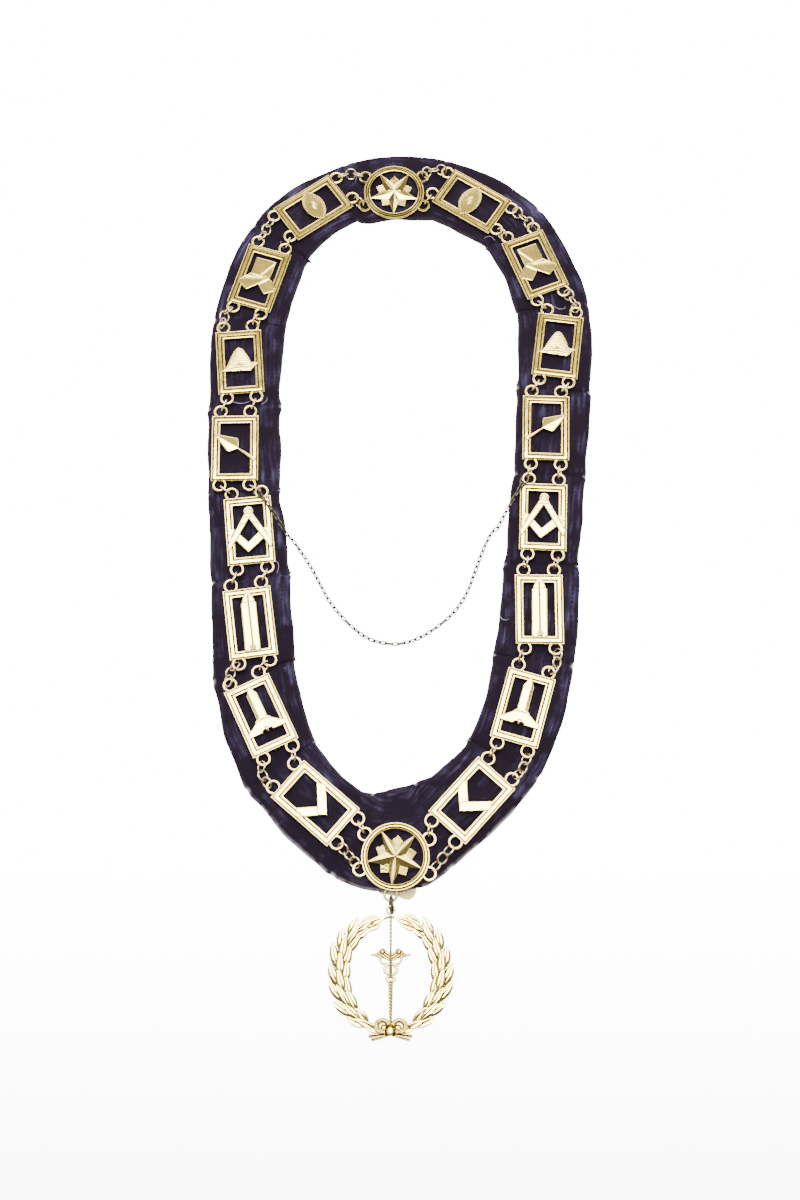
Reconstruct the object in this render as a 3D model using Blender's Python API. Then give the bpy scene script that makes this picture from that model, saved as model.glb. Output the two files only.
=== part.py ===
"""Chain collar of sixteen pierced plaques and two round medallions linked over a velvet band.

The collar lies flat on its lining. +Y runs from the bottom medallion to the top one and +Z is up.
It is laid out from the top medallion's middle, and the finished collar is then moved so that the
bottom centre of its box is the origin. All lengths are metres and all angles are degrees.
"""

import math
from typing import NamedTuple

import bmesh
import bpy
from mathutils import Matrix, Vector

for old in list(bpy.data.objects):
    bpy.data.objects.remove(old, do_unlink=True)

# Clearances between pieces that touch in the real collar
SEAT_GAP = 0.0003
LINK_SLACK = 0.0006

# Plaques: a moulded rectangular frame around one emblem
PLAQUE_LENGTH = 0.0430
PLAQUE_WIDTH = 0.0284
FRAME_BAND = 0.0052
FRAME_HEIGHT = 0.0030
EMBLEM_BASE = 0.0009
EMBLEM_TOP = 0.0023
RELIEF_HEIGHT = 0.0005

# Wire eyelets soldered to the plaques and medallions
EYELET_DIAMETER = 0.0086
EYELET_WIRE = 0.0015
EYELET_SPREAD = 0.0090
EYELET_OUT = 0.0026
EYELET_RISE = 0.0026
EYELET_SWEEP = 280.0

# Jump rings: a lone ring and those at a strand's ends lean from upright, the one between lies flat
RING_DIAMETER = 0.0085
RING_WIRE = 0.0011
LONE_LEAN = 35.0
RING_LEAN = 42.0
FLAT_LEAN = 90.0
SOLDER_LAP = 0.0003
# A slack strand's first ring sits this share of a taut span from its eyelet, and it turns towards
# the eyelet this many times as much as towards the next ring
SLACK_SHARE = 0.86
END_PULL = 2.0
# Span from the last plaque on the left and on the right to the bottom medallion, in two taut spans
BOTTOM_SHARES = (0.91, 1.0)

# Medallions
MEDALLION_DIAMETER = 0.0388
MEDALLION_BAND = 0.0040
MEDALLION_HEIGHT = 0.0034
TOP_ROLL = -1.0
BOTTOM_ROLL = -7.0
STAR_PEAK = 0.0036
STAR_TIP_TOP = 0.0024
STAR_BLOCK_TOP = 0.0018

# Cloth
BAND_WIDTH = 0.0440
VELVET_THICKNESS = 0.0030
LINING_THICKNESS = 0.0010
LINING_INSET = 0.0070
UNDERSIDE_INSET = 0.0050
EDGE_FOOT = 0.0003

# Wreath, its ring and the stay chain
WREATH_WIDTH = 0.0668
WREATH_LENGTH = 0.0640
WREATH_THICKNESS = 0.0030
WREATH_LOOP_DIAMETER = 0.0054
WREATH_LOOP_WIRE = 0.0010
WREATH_LOOP_Z = 0.0024
PENDANT_EYELET_RISE = 0.0010
PENDANT_RING_DIAMETER = 0.0096
PENDANT_DROP = 0.0087
PENDANT_RING_ENTRY = 0.0013
PENDANT_TURN = -97.0
STAY_CHAIN_WIDTH = 0.0021

# Facets
RING_SIDES = 10
PENDANT_RING_SIDES = 10
WIRE_SIDES = 5
EYELET_STEPS = 4
EYELET_SIDES = 4
MEDALLION_SIDES = 20
EMBLEM_ARC_STEPS = 6
SMALL_HOOP_SIDES = 8
SMALL_WIRE_SIDES = 4
ROD_SIDES = 6

# Joins and searches: points closer than this are one, and faces this close to flat are one
MERGE_DISTANCE = 0.000002
FLAT_ANGLE = 0.5
HALVINGS = 30

# Sizes that follow
EYELET_RADIUS = (EYELET_DIAMETER - EYELET_WIRE) / 2
RING_RADIUS = (RING_DIAMETER - RING_WIRE) / 2
TAUT_SPAN = EYELET_RADIUS + RING_RADIUS - (EYELET_WIRE + RING_WIRE) / 2 - LINK_SLACK
RING_PITCH = 2 * RING_RADIUS - RING_WIRE + SOLDER_LAP
SLACK_SPAN = TAUT_SPAN * SLACK_SHARE
OPENING_HALF_WIDTH = PLAQUE_WIDTH / 2 - FRAME_BAND
OPENING_HALF_LENGTH = PLAQUE_LENGTH / 2 - FRAME_BAND
VELVET_BASE = LINING_THICKNESS + SEAT_GAP
METAL_BASE = VELVET_BASE + VELVET_THICKNESS + SEAT_GAP
EYELET_Z = METAL_BASE + EYELET_RISE
MEDALLION_REACH = MEDALLION_DIAMETER / 2 + EYELET_RADIUS / 2


class Unit(NamedTuple):
    """One plaque of a side and the gap above it.

    heading and gap_heading are turned from straight down, positive to the right. span is the
    distance between the linked eyelets as a share of two taut spans, pivot is 1 where the inner
    eyelets set it and 0 where the middle of the plaque does. The edges are the velvet's distances
    from the plaque's middle line at its start, middle and end and in the gap below, as shares of
    BAND_WIDTH, and crease is the velvet's height in that gap as a share of its thickness.
    """

    emblem: str
    heading: float
    gap_heading: float
    span: float
    pivot: float
    outer_links: int
    inner: tuple[float, float, float, float]
    outer: tuple[float, float, float, float]
    crease: float


LEFT = (
    Unit(
        "eye", -54.6, -124, 0.91, 1, 3,
        (0.545, 0.505, 0.568, 0.580), (0.393, 0.425, 0.364, 0.386), 0.58),
    Unit(
        "euclid", -17.2, -18, 0.91, 1, 3,
        (0.552, 0.534, 0.561, 0.614), (0.432, 0.455, 0.436, 0.386), 0.60),
    Unit(
        "beehive", 4.5, -31, 0.89, 1, 2,
        (0.643, 0.580, 0.516, 0.568), (0.364, 0.420, 0.448, 0.416), 0.56),
    Unit(
        "trowel", 1.0, -20, 0.96, 0, 1,
        (0.607, 0.614, 0.625, 0.545), (0.375, 0.368, 0.352, 0.455), 0.62),
    Unit(
        "compasses", 5.6, 55, 0.86, 0, 1,
        (0.443, 0.466, 0.477, 0.552), (0.534, 0.534, 0.557, 0.500), 0.58),
    Unit(
        "gauge", 7.7, -19, 0.98, 0, 1,
        (0.545, 0.545, 0.523, 0.602), (0.466, 0.511, 0.545, 0.489), 0.56),
    Unit(
        "gavel", 25.2, -41, 0.92, 1, 2,
        (0.648, 0.557, 0.477, 0.511), (0.409, 0.534, 0.557, 0.530), 0.58),
    Unit(
        "square", 49.0, 8, 0.98, 1, 2,
        (0.539, 0.466, 0.489, 0.500), (0.489, 0.568, 0.568, 0.560), 0.60),
)
RIGHT = (
    Unit(
        "eye", 57.1, 146, 1.00, 1, 2,
        (0.580, 0.557, 0.518, 0.511), (0.402, 0.450, 0.436, 0.450), 0.60),
    Unit(
        "euclid", 21.8, 49, 0.85, 1, 3,
        (0.523, 0.484, 0.530, 0.580), (0.470, 0.507, 0.507, 0.455), 0.58),
    Unit(
        "beehive", -7.4, 43, 0.83, 1, 2,
        (0.618, 0.545, 0.500, 0.455), (0.391, 0.477, 0.511, 0.557), 0.56),
    Unit(
        "trowel", -2.0, -33, 0.83, 0, 1,
        (0.386, 0.409, 0.416, 0.405), (0.614, 0.584, 0.539, 0.545), 0.60),
    Unit(
        "compasses", -2.5, -8, 0.94, 0, 1,
        (0.420, 0.455, 0.477, 0.477), (0.534, 0.523, 0.477, 0.511), 0.56),
    Unit(
        "gauge", -0.5, -15, 0.95, 0, 1,
        (0.466, 0.523, 0.573, 0.545), (0.534, 0.516, 0.466, 0.489), 0.58),
    Unit(
        "gavel", -16.0, -21, 1.00, 1, 2,
        (0.511, 0.500, 0.507, 0.511), (0.511, 0.534, 0.477, 0.493), 0.58),
    Unit(
        "square", -42.3, -30, 1.00, 1, 3,
        (0.523, 0.557, 0.648, 0.660), (0.466, 0.477, 0.416, 0.430), 0.60),
)
LAST_LINKS = (3, 3)


class Turns(NamedTuple):
    """Where a medallion's eyelets stand, counted from +X, upper and lower on each side."""

    upper_right: float
    upper_left: float
    lower_left: float
    lower_right: float


TOP_EYELETS = Turns(31.0, 150.0, 208.0, -28.0)
BOTTOM_EYELETS = Turns(27.0, 144.0, 200.0, -27.0)


class Fan(NamedTuple):
    """A velvet section near a medallion: its two ends from the medallion's middle.

    aside is to the right and along is towards the collar's outer edge, both as shares of
    BAND_WIDTH. lining is how far the lining shows past the outer edge, in the same shares.
    """

    outer_aside: float
    outer_along: float
    inner_aside: float
    inner_along: float
    height: float
    lining: float


TOP_FAN = (
    Fan(-0.668, 0.516, -0.532, -0.452, 0.60, 0.0),
    Fan(-0.407, 0.578, -0.360, -0.475, 0.74, 0.0),
    Fan(0.000, 0.639, 0.000, -0.384, 1.00, 0.0),
    Fan(0.411, 0.608, 0.425, -0.436, 0.74, 0.0),
    Fan(0.718, 0.559, 0.593, -0.407, 0.60, 0.0),
)
BOTTOM_FAN = (
    Fan(0.705, 0.089, 0.118, -0.884, 0.60, 0.0),
    Fan(0.420, 0.330, 0.080, -0.874, 0.74, 0.0),
    Fan(0.200, 0.440, 0.033, -0.865, 1.00, 0.026),
    Fan(0.000, 0.462, -0.020, -0.853, 1.00, 0.026),
    Fan(-0.420, 0.390, -0.115, -0.830, 0.74, 0.0),
    Fan(-0.795, 0.225, -0.239, -0.807, 0.60, 0.0),
)

# Velvet margin from the edge to the core: share of the margin's width, share of the height
MARGIN_PROFILE = ((0.16, 0.90),)
FAN_MARGIN = 0.13
END_HEIGHT = 0.78

# Frame moulding: share of FRAME_BAND from the outside, share of FRAME_HEIGHT
FRAME_PROFILE = ((0.00, 0.0), (0.00, 0.90), (0.55, 0.98), (1.00, 0.79), (1.00, 0.0))
# Medallion moulding: share of MEDALLION_BAND from the outside, share of MEDALLION_HEIGHT
RING_PROFILE = ((0.00, 0.0), (0.00, 0.82), (0.40, 1.00), (1.00, 0.60), (1.00, 0.0))


class Plate(NamedTuple):
    """A flat piece of an emblem: its outline as shares of the opening's half sizes and its heights."""

    outline: tuple[tuple[float, float], ...]
    base: float
    top: float


def pointed_oval(reach, rise, middle, fullness, steps):
    """Outline of a pointed oval: height = rise * (1 - |x / reach| ** fullness), as shares."""
    upper = []
    for step in range(steps + 1):
        x = reach * math.cos(math.pi * step / steps)
        upper.append((x, middle + rise * (1 - abs(x / reach) ** fullness)))
    lower = [(x, 2 * middle - y) for x, y in reversed(upper[1:-1])]
    return tuple(upper + lower)


def bar(start, end, width):
    """Outline of a straight bar between two points, all in shares of the opening's half sizes."""
    along = Vector(((end[0] - start[0]) * OPENING_HALF_WIDTH, (end[1] - start[1]) * OPENING_HALF_LENGTH))
    normal = Vector((-along.y, along.x)).normalized() * width / 2
    across = (normal.x / OPENING_HALF_WIDTH, normal.y / OPENING_HALF_LENGTH)
    return (
        (start[0] - across[0], start[1] - across[1]),
        (end[0] - across[0], end[1] - across[1]),
        (end[0] + across[0], end[1] + across[1]),
        (start[0] + across[0], start[1] + across[1]),
    )


def disc(x, y, diameter, steps):
    """Outline of a round knob, its middle in shares and its diameter in metres."""
    points = []
    for step in range(steps):
        angle = 2 * math.pi * step / steps
        points.append((
            x + diameter / 2 * math.cos(angle) / OPENING_HALF_WIDTH,
            y + diameter / 2 * math.sin(angle) / OPENING_HALF_LENGTH,
        ))
    return tuple(points)


RELIEF_TOP = EMBLEM_TOP + RELIEF_HEIGHT
RELIEF_BASE = EMBLEM_BASE + RELIEF_HEIGHT
OVERLAY_TOP = FRAME_HEIGHT + RELIEF_HEIGHT / 2
LINE_WIDTH = 0.0007
HANDLE_WIDTH = 0.0021
KNOB_DIAMETER = 0.0058

EMBLEMS = {
    "eye": (
        Plate(pointed_oval(1.27, 0.40, 0.06, 3.2, EMBLEM_ARC_STEPS), EMBLEM_BASE, EMBLEM_TOP),
        Plate(pointed_oval(0.40, 0.09, 0.06, 1.6, EMBLEM_ARC_STEPS // 2), RELIEF_BASE, RELIEF_TOP),
    ),
    "euclid": (
        Plate(
            ((-0.69, 0.83), (-0.66, 0.06), (-1.30, -0.26), (-0.59, -0.63), (0.08, -0.31), (0.73, -0.61),
             (1.31, -0.32), (0.70, 0.05), (0.75, 0.83)),
            EMBLEM_BASE, EMBLEM_TOP),
        Plate(bar((0.68, 0.76), (0.00, 0.14), LINE_WIDTH), RELIEF_BASE, RELIEF_TOP),
        Plate(bar((0.69, 0.05), (-1.06, -0.24), LINE_WIDTH), RELIEF_BASE, RELIEF_TOP),
    ),
    "beehive": (
        Plate(
            ((-1.08, -0.33), (-0.80, 0.02), (-0.54, 0.36), (-0.02, 0.62), (0.52, 0.34), (0.76, -0.02),
             (1.12, -0.02), (1.10, -0.14), (0.70, -0.385), (-0.98, -0.36)),
            EMBLEM_BASE, EMBLEM_TOP),
        Plate(
            ((-0.66, 0.06), (-0.46, 0.33), (-0.02, 0.56), (0.44, 0.31), (0.64, -0.02)),
            RELIEF_BASE, RELIEF_TOP),
    ),
    "trowel": (
        Plate(
            ((-1.28, 0.56), (-1.03, 0.24), (-0.52, -0.13), (0.24, -0.06), (0.26, 0.33), (0.18, 0.38)),
            EMBLEM_BASE, EMBLEM_TOP),
        Plate(bar((0.08, 0.02), (1.28, -0.44), HANDLE_WIDTH), RELIEF_BASE, OVERLAY_TOP),
    ),
    "compasses": (
        Plate(
            ((-1.53, -0.01), (-1.03, 0.10), (-0.11, -0.46), (0.91, 0.05), (1.52, 0.00), (1.16, -0.26),
             (-0.155, -0.86), (-1.12, -0.24)),
            EMBLEM_BASE, OVERLAY_TOP),
        Plate(
            ((-0.29, 0.62), (-1.54, -0.55), (-1.46, -0.78), (0.02, 0.45), (1.36, -0.74), (1.50, -0.52),
             (0.31, 0.62)),
            RELIEF_BASE, OVERLAY_TOP + RELIEF_HEIGHT / 2),
        Plate(disc(0.03, 0.735, KNOB_DIAMETER, EMBLEM_ARC_STEPS), EMBLEM_BASE, OVERLAY_TOP),
    ),
    "gauge": (
        Plate(
            ((-0.52, -1.10), (0.48, -1.10), (0.52, 0.75), (0.36, 0.98), (0.06, 1.18), (-0.30, 0.95),
             (-0.45, 0.76)),
            EMBLEM_BASE, OVERLAY_TOP),
        Plate(bar((0.03, -0.80), (0.05, 1.00), LINE_WIDTH * 2), RELIEF_BASE, OVERLAY_TOP + RELIEF_HEIGHT),
    ),
    "gavel": (
        Plate(
            ((0.00, 1.17), (-0.35, 0.83), (-0.36, -0.11), (-1.30, -0.52), (-1.10, -0.63), (-0.30, -0.62),
             (0.00, -0.48), (0.30, -0.62), (1.10, -0.63), (1.30, -0.52), (0.36, -0.11), (0.35, 0.83)),
            EMBLEM_BASE, EMBLEM_TOP),
        Plate(bar((0.00, -0.20), (0.00, 0.86), HANDLE_WIDTH), RELIEF_BASE, RELIEF_TOP),
    ),
    "square": (
        Plate(
            ((-0.09, -0.135), (-1.03, 0.38), (-1.53, 0.19), (-0.09, -0.60), (1.36, 0.18), (0.97, 0.42)),
            EMBLEM_BASE, OVERLAY_TOP),
    ),
}
MIRRORED_ON_RIGHT = ("euclid", "trowel")

# Star of the medallions: turn from a tip and reach as a share of the inner radius
STAR_OUTLINE = ((0.0, 1.04), (20.0, 0.62), (36.0, 0.79), (52.0, 0.62))
STAR_VALLEY = 0.50
STAR_POINTS = 5

# Half of the wreath from the bow to the top: share of the half width, share of the length, and
# half the branch's breadth as a share of the length
WREATH_BRANCH = (
    (0.03, -0.945, 0.018), (0.34, -0.915, 0.048), (0.55, -0.83, 0.066), (0.70, -0.735, 0.074),
    (0.80, -0.62, 0.076), (0.84, -0.50, 0.076), (0.83, -0.38, 0.076), (0.76, -0.265, 0.074),
    (0.64, -0.165, 0.068), (0.48, -0.090, 0.056), (0.30, -0.045, 0.040), (0.03, -0.025, 0.022),
)
LEAF_ROWS = 6
LEAF_NOTCH = 0.66
LEAF_HOOK = 0.88
# Section of a branch: share of its half breadth, share of the wreath's thickness
BRANCH_PROFILE = ((-1.0, 0.30), (-0.7, 0.0), (0.7, 0.0), (1.0, 0.30), (0.5, 0.82), (-0.5, 0.82))
# Caduceus wing, as shares of the half width and the length
WING = (
    (0.04, -0.29), (0.13, -0.262), (0.22, -0.30), (0.34, -0.322),
    (0.24, -0.335), (0.17, -0.375), (0.05, -0.405),
)
ROD_DIAMETER = 0.0018
# Heights on the wreath, as shares of its thickness
ROD_RISE = 0.50
WING_RISES = (0.30, 0.75)
SNAKE_RISE = 0.60
BOW_RISE = 0.45
TAIL_RISE = 0.10
# Snake loops: place down the staff as a share of the length, diameter and wire
SNAKE_LOOPS = ((-0.43, 0.0072, 0.0011), (-0.515, 0.0050, 0.0012))
BOW_LOOP_DIAMETER = 0.0084
BOW_WIRE = 0.0015
BOW_LOOPS = ((-0.16, -0.90), (0.15, -0.895))
KNOT_WIDTH = 0.0042
KNOT_LENGTH = 0.0052
# Knot: share of its size, share of the wreath's thickness
KNOT_PROFILE = ((0.80, 0.04), (1.00, 0.60), (0.55, 0.98))
KNOT_SIDES = 6
BOW_PLACE = -0.935
BOW_TAILS = (
    ((-0.03, -0.945), (-0.32, -1.035), (-0.27, -0.985)),
    ((0.02, -0.945), (0.28, -1.035), (0.35, -0.990)),
)
TAIL_THICKNESS = 0.0012

# Route of the stay chain, in metres from the top medallion's middle, with its height
STAY_ROUTE = (
    (-0.0812, -0.2085, 0.0094), (-0.0786, -0.2120, 0.0093), (-0.0752, -0.2160, 0.0092),
    (-0.0725, -0.2200, 0.0090), (-0.0700, -0.2240, 0.0078), (-0.0672, -0.2284, 0.0060),
    (-0.0646, -0.2322, 0.0040), (-0.0620, -0.2360, 0.0022), (-0.0592, -0.2400, 0.0013),
    (-0.0533, -0.2488, 0.0013), (-0.0478, -0.2580, 0.0013), (-0.0429, -0.2676, 0.0013),
    (-0.0378, -0.2768, 0.0013), (-0.0313, -0.2852, 0.0013), (-0.0240, -0.2928, 0.0013),
    (-0.0152, -0.2993, 0.0013), (-0.0053, -0.3024, 0.0013), (0.0052, -0.3027, 0.0013),
    (0.0152, -0.3002, 0.0013), (0.0246, -0.2953, 0.0013), (0.0329, -0.2888, 0.0013),
    (0.0395, -0.2808, 0.0013), (0.0444, -0.2718, 0.0013), (0.0481, -0.2618, 0.0013),
    (0.0517, -0.2518, 0.0013), (0.0556, -0.2422, 0.0013), (0.0578, -0.2375, 0.0013),
    (0.0602, -0.2328, 0.0024), (0.0628, -0.2280, 0.0046), (0.0656, -0.2232, 0.0060),
    (0.0682, -0.2186, 0.0064), (0.0706, -0.2142, 0.0074), (0.0731, -0.2098, 0.0086),
    (0.0757, -0.2056, 0.0090), (0.0780, -0.2014, 0.0092),
)

GILT = (0.78, 0.62, 0.34, 1.0)
SILVERED = (0.72, 0.66, 0.54, 1.0)
VELVET = (0.035, 0.022, 0.085, 1.0)
CREAM = (0.62, 0.55, 0.42, 1.0)


def material(name, colour, metallic, roughness):
    """A Principled material under the given name, made once."""
    made = bpy.data.materials.get(name)
    if made is None:
        made = bpy.data.materials.new(name)
        made.use_nodes = True
        shader = made.node_tree.nodes["Principled BSDF"]
        shader.inputs["Base Color"].default_value = colour
        shader.inputs["Metallic"].default_value = metallic
        shader.inputs["Roughness"].default_value = roughness
    return made


GILT_METAL = material("gilt_brass", GILT, 1.0, 0.28)
LINK_METAL = material("link_brass", SILVERED, 1.0, 0.32)
VELVET_CLOTH = material("velvet", VELVET, 0.0, 0.85)
LINING_CLOTH = material("lining_cloth", CREAM, 0.0, 0.9)


class Shell(NamedTuple):
    """A closed surface: points and the faces over them."""

    points: list
    faces: list


def prism(outline, base, top):
    """A plate with the given plan outline between two heights."""
    count = len(outline)
    points = [Vector((x, y, base)) for x, y in outline] + [Vector((x, y, top)) for x, y in outline]
    faces = [tuple(reversed(range(count))), tuple(range(count, 2 * count))]
    faces += [(i, (i + 1) % count, (i + 1) % count + count, i + count) for i in range(count)]
    return Shell(points, faces)


def loft(rings, closed):
    """A skin over equal rings of points, joined end to end or capped."""
    count = len(rings[0])
    points = [point for ring in rings for point in ring]
    faces = []
    spans = len(rings) if closed else len(rings) - 1
    for row in range(spans):
        here = row * count
        there = (row + 1) % len(rings) * count
        for i in range(count):
            j = (i + 1) % count
            faces.append((here + i, here + j, there + j, there + i))
    if not closed:
        last = (len(rings) - 1) * count
        faces.append(tuple(reversed(range(count))))
        faces.append(tuple(range(last, last + count)))
    return Shell(points, faces)


def hoop(middle, across, rise, radius, wire, sides, wire_sides, start=0.0, sweep=360.0):
    """A round wire bent to a circle, or to an arc of it, in the plane of two unit vectors.

    Its corners stand out so far that the mean of their reach and the flats' is the radius.
    """
    axis = across.cross(rise)
    closed = sweep >= 360.0
    radius *= 2 / (1 + math.cos(math.radians(sweep / sides / 2)))
    stations = sides if closed else sides + 1
    rings = []
    for step in range(stations):
        angle = math.radians(start + sweep * step / sides)
        outward = across * math.cos(angle) + rise * math.sin(angle)
        ring = []
        for turn in range(wire_sides):
            spin = 2 * math.pi * (turn + 0.5) / wire_sides
            reach = radius + wire / 2 * math.cos(spin)
            ring.append(middle + outward * reach + axis * (wire / 2 * math.sin(spin)))
        rings.append(ring)
    return loft(rings, closed)


def rod(start, end, diameter, sides):
    """A straight round rod between two points."""
    along = (end - start).normalized()
    across = along.orthogonal().normalized()
    rise = along.cross(across)
    rings = []
    for end_point in (start, end):
        ring = []
        for turn in range(sides):
            spin = 2 * math.pi * turn / sides
            ring.append(end_point + (across * math.cos(spin) + rise * math.sin(spin)) * diameter / 2)
        rings.append(ring)
    return loft(rings, False)


def mesh_from(name, shells):
    """One mesh of several closed surfaces, with its normals outward."""
    made = bmesh.new()
    for shell in shells:
        vertices = [made.verts.new(point) for point in shell.points]
        for face in shell.faces:
            made.faces.new([vertices[i] for i in face])
    bmesh.ops.recalc_face_normals(made, faces=made.faces)
    mesh = bpy.data.meshes.new(name)
    made.to_mesh(mesh)
    made.free()
    return mesh


def piece(name, shells, cloth_or_metal, smooth=False):
    """A named object of one closed body: the first shell joined with the others."""
    body = bpy.data.objects.new(name, mesh_from(name, shells[:1]))
    bpy.context.scene.collection.objects.link(body)
    if len(shells) > 1:
        others = bpy.data.objects.new(name + "_tool", mesh_from(name + "_tool", shells[1:]))
        bpy.context.scene.collection.objects.link(others)
        join = body.modifiers.new("join", "BOOLEAN")
        join.operation = "UNION"
        join.solver = "EXACT"
        join.use_self = True
        join.object = others
        bpy.context.view_layer.update()
        evaluated = body.evaluated_get(bpy.context.evaluated_depsgraph_get())
        joined = bpy.data.meshes.new_from_object(evaluated)
        body.modifiers.clear()
        tidy = bmesh.new()
        tidy.from_mesh(joined)
        bmesh.ops.remove_doubles(tidy, verts=tidy.verts, dist=MERGE_DISTANCE)
        bmesh.ops.dissolve_limit(
            tidy, angle_limit=math.radians(FLAT_ANGLE), verts=tidy.verts, edges=tidy.edges)
        tidy.to_mesh(joined)
        tidy.free()
        body.data = joined
        bpy.data.objects.remove(others, do_unlink=True)
    body.data.materials.clear()
    body.data.materials.append(cloth_or_metal)
    for polygon in body.data.polygons:
        polygon.use_smooth = smooth
    return body


def direction(turn):
    """The plan direction turned from straight down, positive to the right."""
    angle = math.radians(turn)
    return Vector((math.sin(angle), -math.cos(angle), 0.0))


UP = Vector((0.0, 0.0, 1.0))


class Seat(NamedTuple):
    """Where a plaque lies: its middle, its heading and the plan direction of the neck opening."""

    middle: Vector
    heading: float
    inward: Vector

    def eyelet(self, end, side):
        """The middle of an eyelet: end is -1 at the start and 1 at the far end, side is 1 inside."""
        along = direction(self.heading) * end * (PLAQUE_LENGTH / 2 + EYELET_OUT)
        return self.middle + along + self.inward * side * EYELET_SPREAD

    def link_point(self, end, pivot):
        """The point that a gap is measured from: between the eyelets, or the inner one."""
        along = direction(self.heading) * end * (PLAQUE_LENGTH / 2 + EYELET_OUT)
        return self.middle + along + self.inward * pivot * EYELET_SPREAD


def medallion_eyelet(middle, turn):
    """The middle of a medallion's eyelet, its turn counted from +X."""
    angle = math.radians(turn)
    return middle + Vector((math.cos(angle), math.sin(angle), 0.0)) * MEDALLION_REACH


def side_seats(units, side, top):
    """The seats of one side's plaques, walked down from the top medallion."""
    point = medallion_eyelet(top, TOP_EYELETS.lower_right if side > 0 else TOP_EYELETS.lower_left)
    seats = []
    for unit in units:
        if seats:
            point = seats[-1].link_point(1, unit.pivot)
        near = point + direction(unit.gap_heading) * (2 * TAUT_SPAN * unit.span)
        along = direction(unit.heading)
        inward = Vector((-along.y, along.x, 0.0)) * -side
        middle = near - inward * unit.pivot * EYELET_SPREAD + along * (PLAQUE_LENGTH / 2 + EYELET_OUT)
        seats.append(Seat(middle, unit.heading, inward))
    return seats


def bottom_middle(left_seat, right_seat):
    """The bottom medallion's middle, a ring's span from the inner eyelet of each last plaque."""
    zero = Vector((0.0, 0.0, 0.0))
    left = left_seat.eyelet(1, 1) - medallion_eyelet(zero, BOTTOM_EYELETS.upper_left)
    right = right_seat.eyelet(1, 1) - medallion_eyelet(zero, BOTTOM_EYELETS.upper_right)
    left_reach, right_reach = (2 * TAUT_SPAN * share for share in BOTTOM_SHARES)
    apart = (right - left).length
    across = (right - left) / apart
    aside = (apart ** 2 + left_reach ** 2 - right_reach ** 2) / (2 * apart)
    drop = math.sqrt(left_reach ** 2 - aside ** 2)
    return left + across * aside + Vector((across.y, -across.x, 0.0)) * drop


TOP_MIDDLE = Vector((0.0, 0.0, METAL_BASE))
LEFT_SEATS = side_seats(LEFT, -1, TOP_MIDDLE)
RIGHT_SEATS = side_seats(RIGHT, 1, TOP_MIDDLE)
BOTTOM_MIDDLE = bottom_middle(LEFT_SEATS[-1], RIGHT_SEATS[-1])


def eyelet_shell(middle, outward, height=EYELET_Z):
    """An eyelet bent from wire, open towards the metal that it is soldered to."""
    aside = UP.cross(outward)
    return hoop(
        Vector((middle.x, middle.y, height)), outward, aside, EYELET_RADIUS, EYELET_WIRE,
        EYELET_STEPS, EYELET_SIDES, -EYELET_SWEEP / 2, EYELET_SWEEP)


def frame_shell():
    """The moulded frame of a plaque about the origin, mitred at its corners."""
    rings = []
    for side_x, side_y in ((1, 1), (-1, 1), (-1, -1), (1, -1)):
        ring = []
        for inset, height in FRAME_PROFILE:
            x = side_x * (PLAQUE_WIDTH / 2 - inset * FRAME_BAND)
            y = side_y * (PLAQUE_LENGTH / 2 - inset * FRAME_BAND)
            ring.append(Vector((x, y, height * FRAME_HEIGHT)))
        rings.append(ring)
    return loft(rings, True)


def plaque(name, emblem, seat, mirrored):
    """A plaque on its seat: the frame, the emblem and four eyelets in one."""
    along = direction(seat.heading)
    turned = Matrix.Translation(seat.middle) @ Matrix.Rotation(math.atan2(along.x, -along.y), 4, "Z")
    shells = [frame_shell()]
    hand = -1 if mirrored else 1
    for plate in EMBLEMS[emblem]:
        outline = [(x * hand * OPENING_HALF_WIDTH, y * OPENING_HALF_LENGTH) for x, y in plate.outline]
        shells.append(prism(outline, plate.base, plate.top))
    placed = [Shell([turned @ point for point in shell.points], shell.faces) for shell in shells]
    for end in (-1, 1):
        for side in (-1, 1):
            placed.append(eyelet_shell(seat.eyelet(end, side), along * end))
    return piece(name, placed, GILT_METAL)


def medallion(name, middle, roll, eyelet_turns):
    """A medallion: the beaded ring, the faceted star over its blocks, and the eyelets."""
    rings = []
    for step in range(MEDALLION_SIDES):
        angle = 2 * math.pi * step / MEDALLION_SIDES
        ring = []
        for inset, height in RING_PROFILE:
            reach = MEDALLION_DIAMETER / 2 - inset * MEDALLION_BAND
            place = Vector((reach * math.cos(angle), reach * math.sin(angle), height * MEDALLION_HEIGHT))
            ring.append(middle + place)
        rings.append(ring)
    shells = [loft(rings, True)]
    inner = MEDALLION_DIAMETER / 2 - MEDALLION_BAND
    outline = []
    for point in range(STAR_POINTS):
        for turn, share in STAR_OUTLINE:
            angle = math.radians(roll - 90 + turn + 360 * point / STAR_POINTS)
            reach = share * inner
            outline.append((middle.x + reach * math.cos(angle), middle.y + reach * math.sin(angle)))
    shells.append(prism(outline, middle.z + EMBLEM_BASE, middle.z + STAR_BLOCK_TOP))
    shells.append(star_shell(middle, roll, inner))
    for turn, height in eyelet_turns:
        angle = math.radians(turn)
        outward = Vector((math.cos(angle), math.sin(angle), 0.0))
        shells.append(eyelet_shell(medallion_eyelet(middle, turn), outward, height))
    return piece(name, shells, GILT_METAL)


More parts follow.
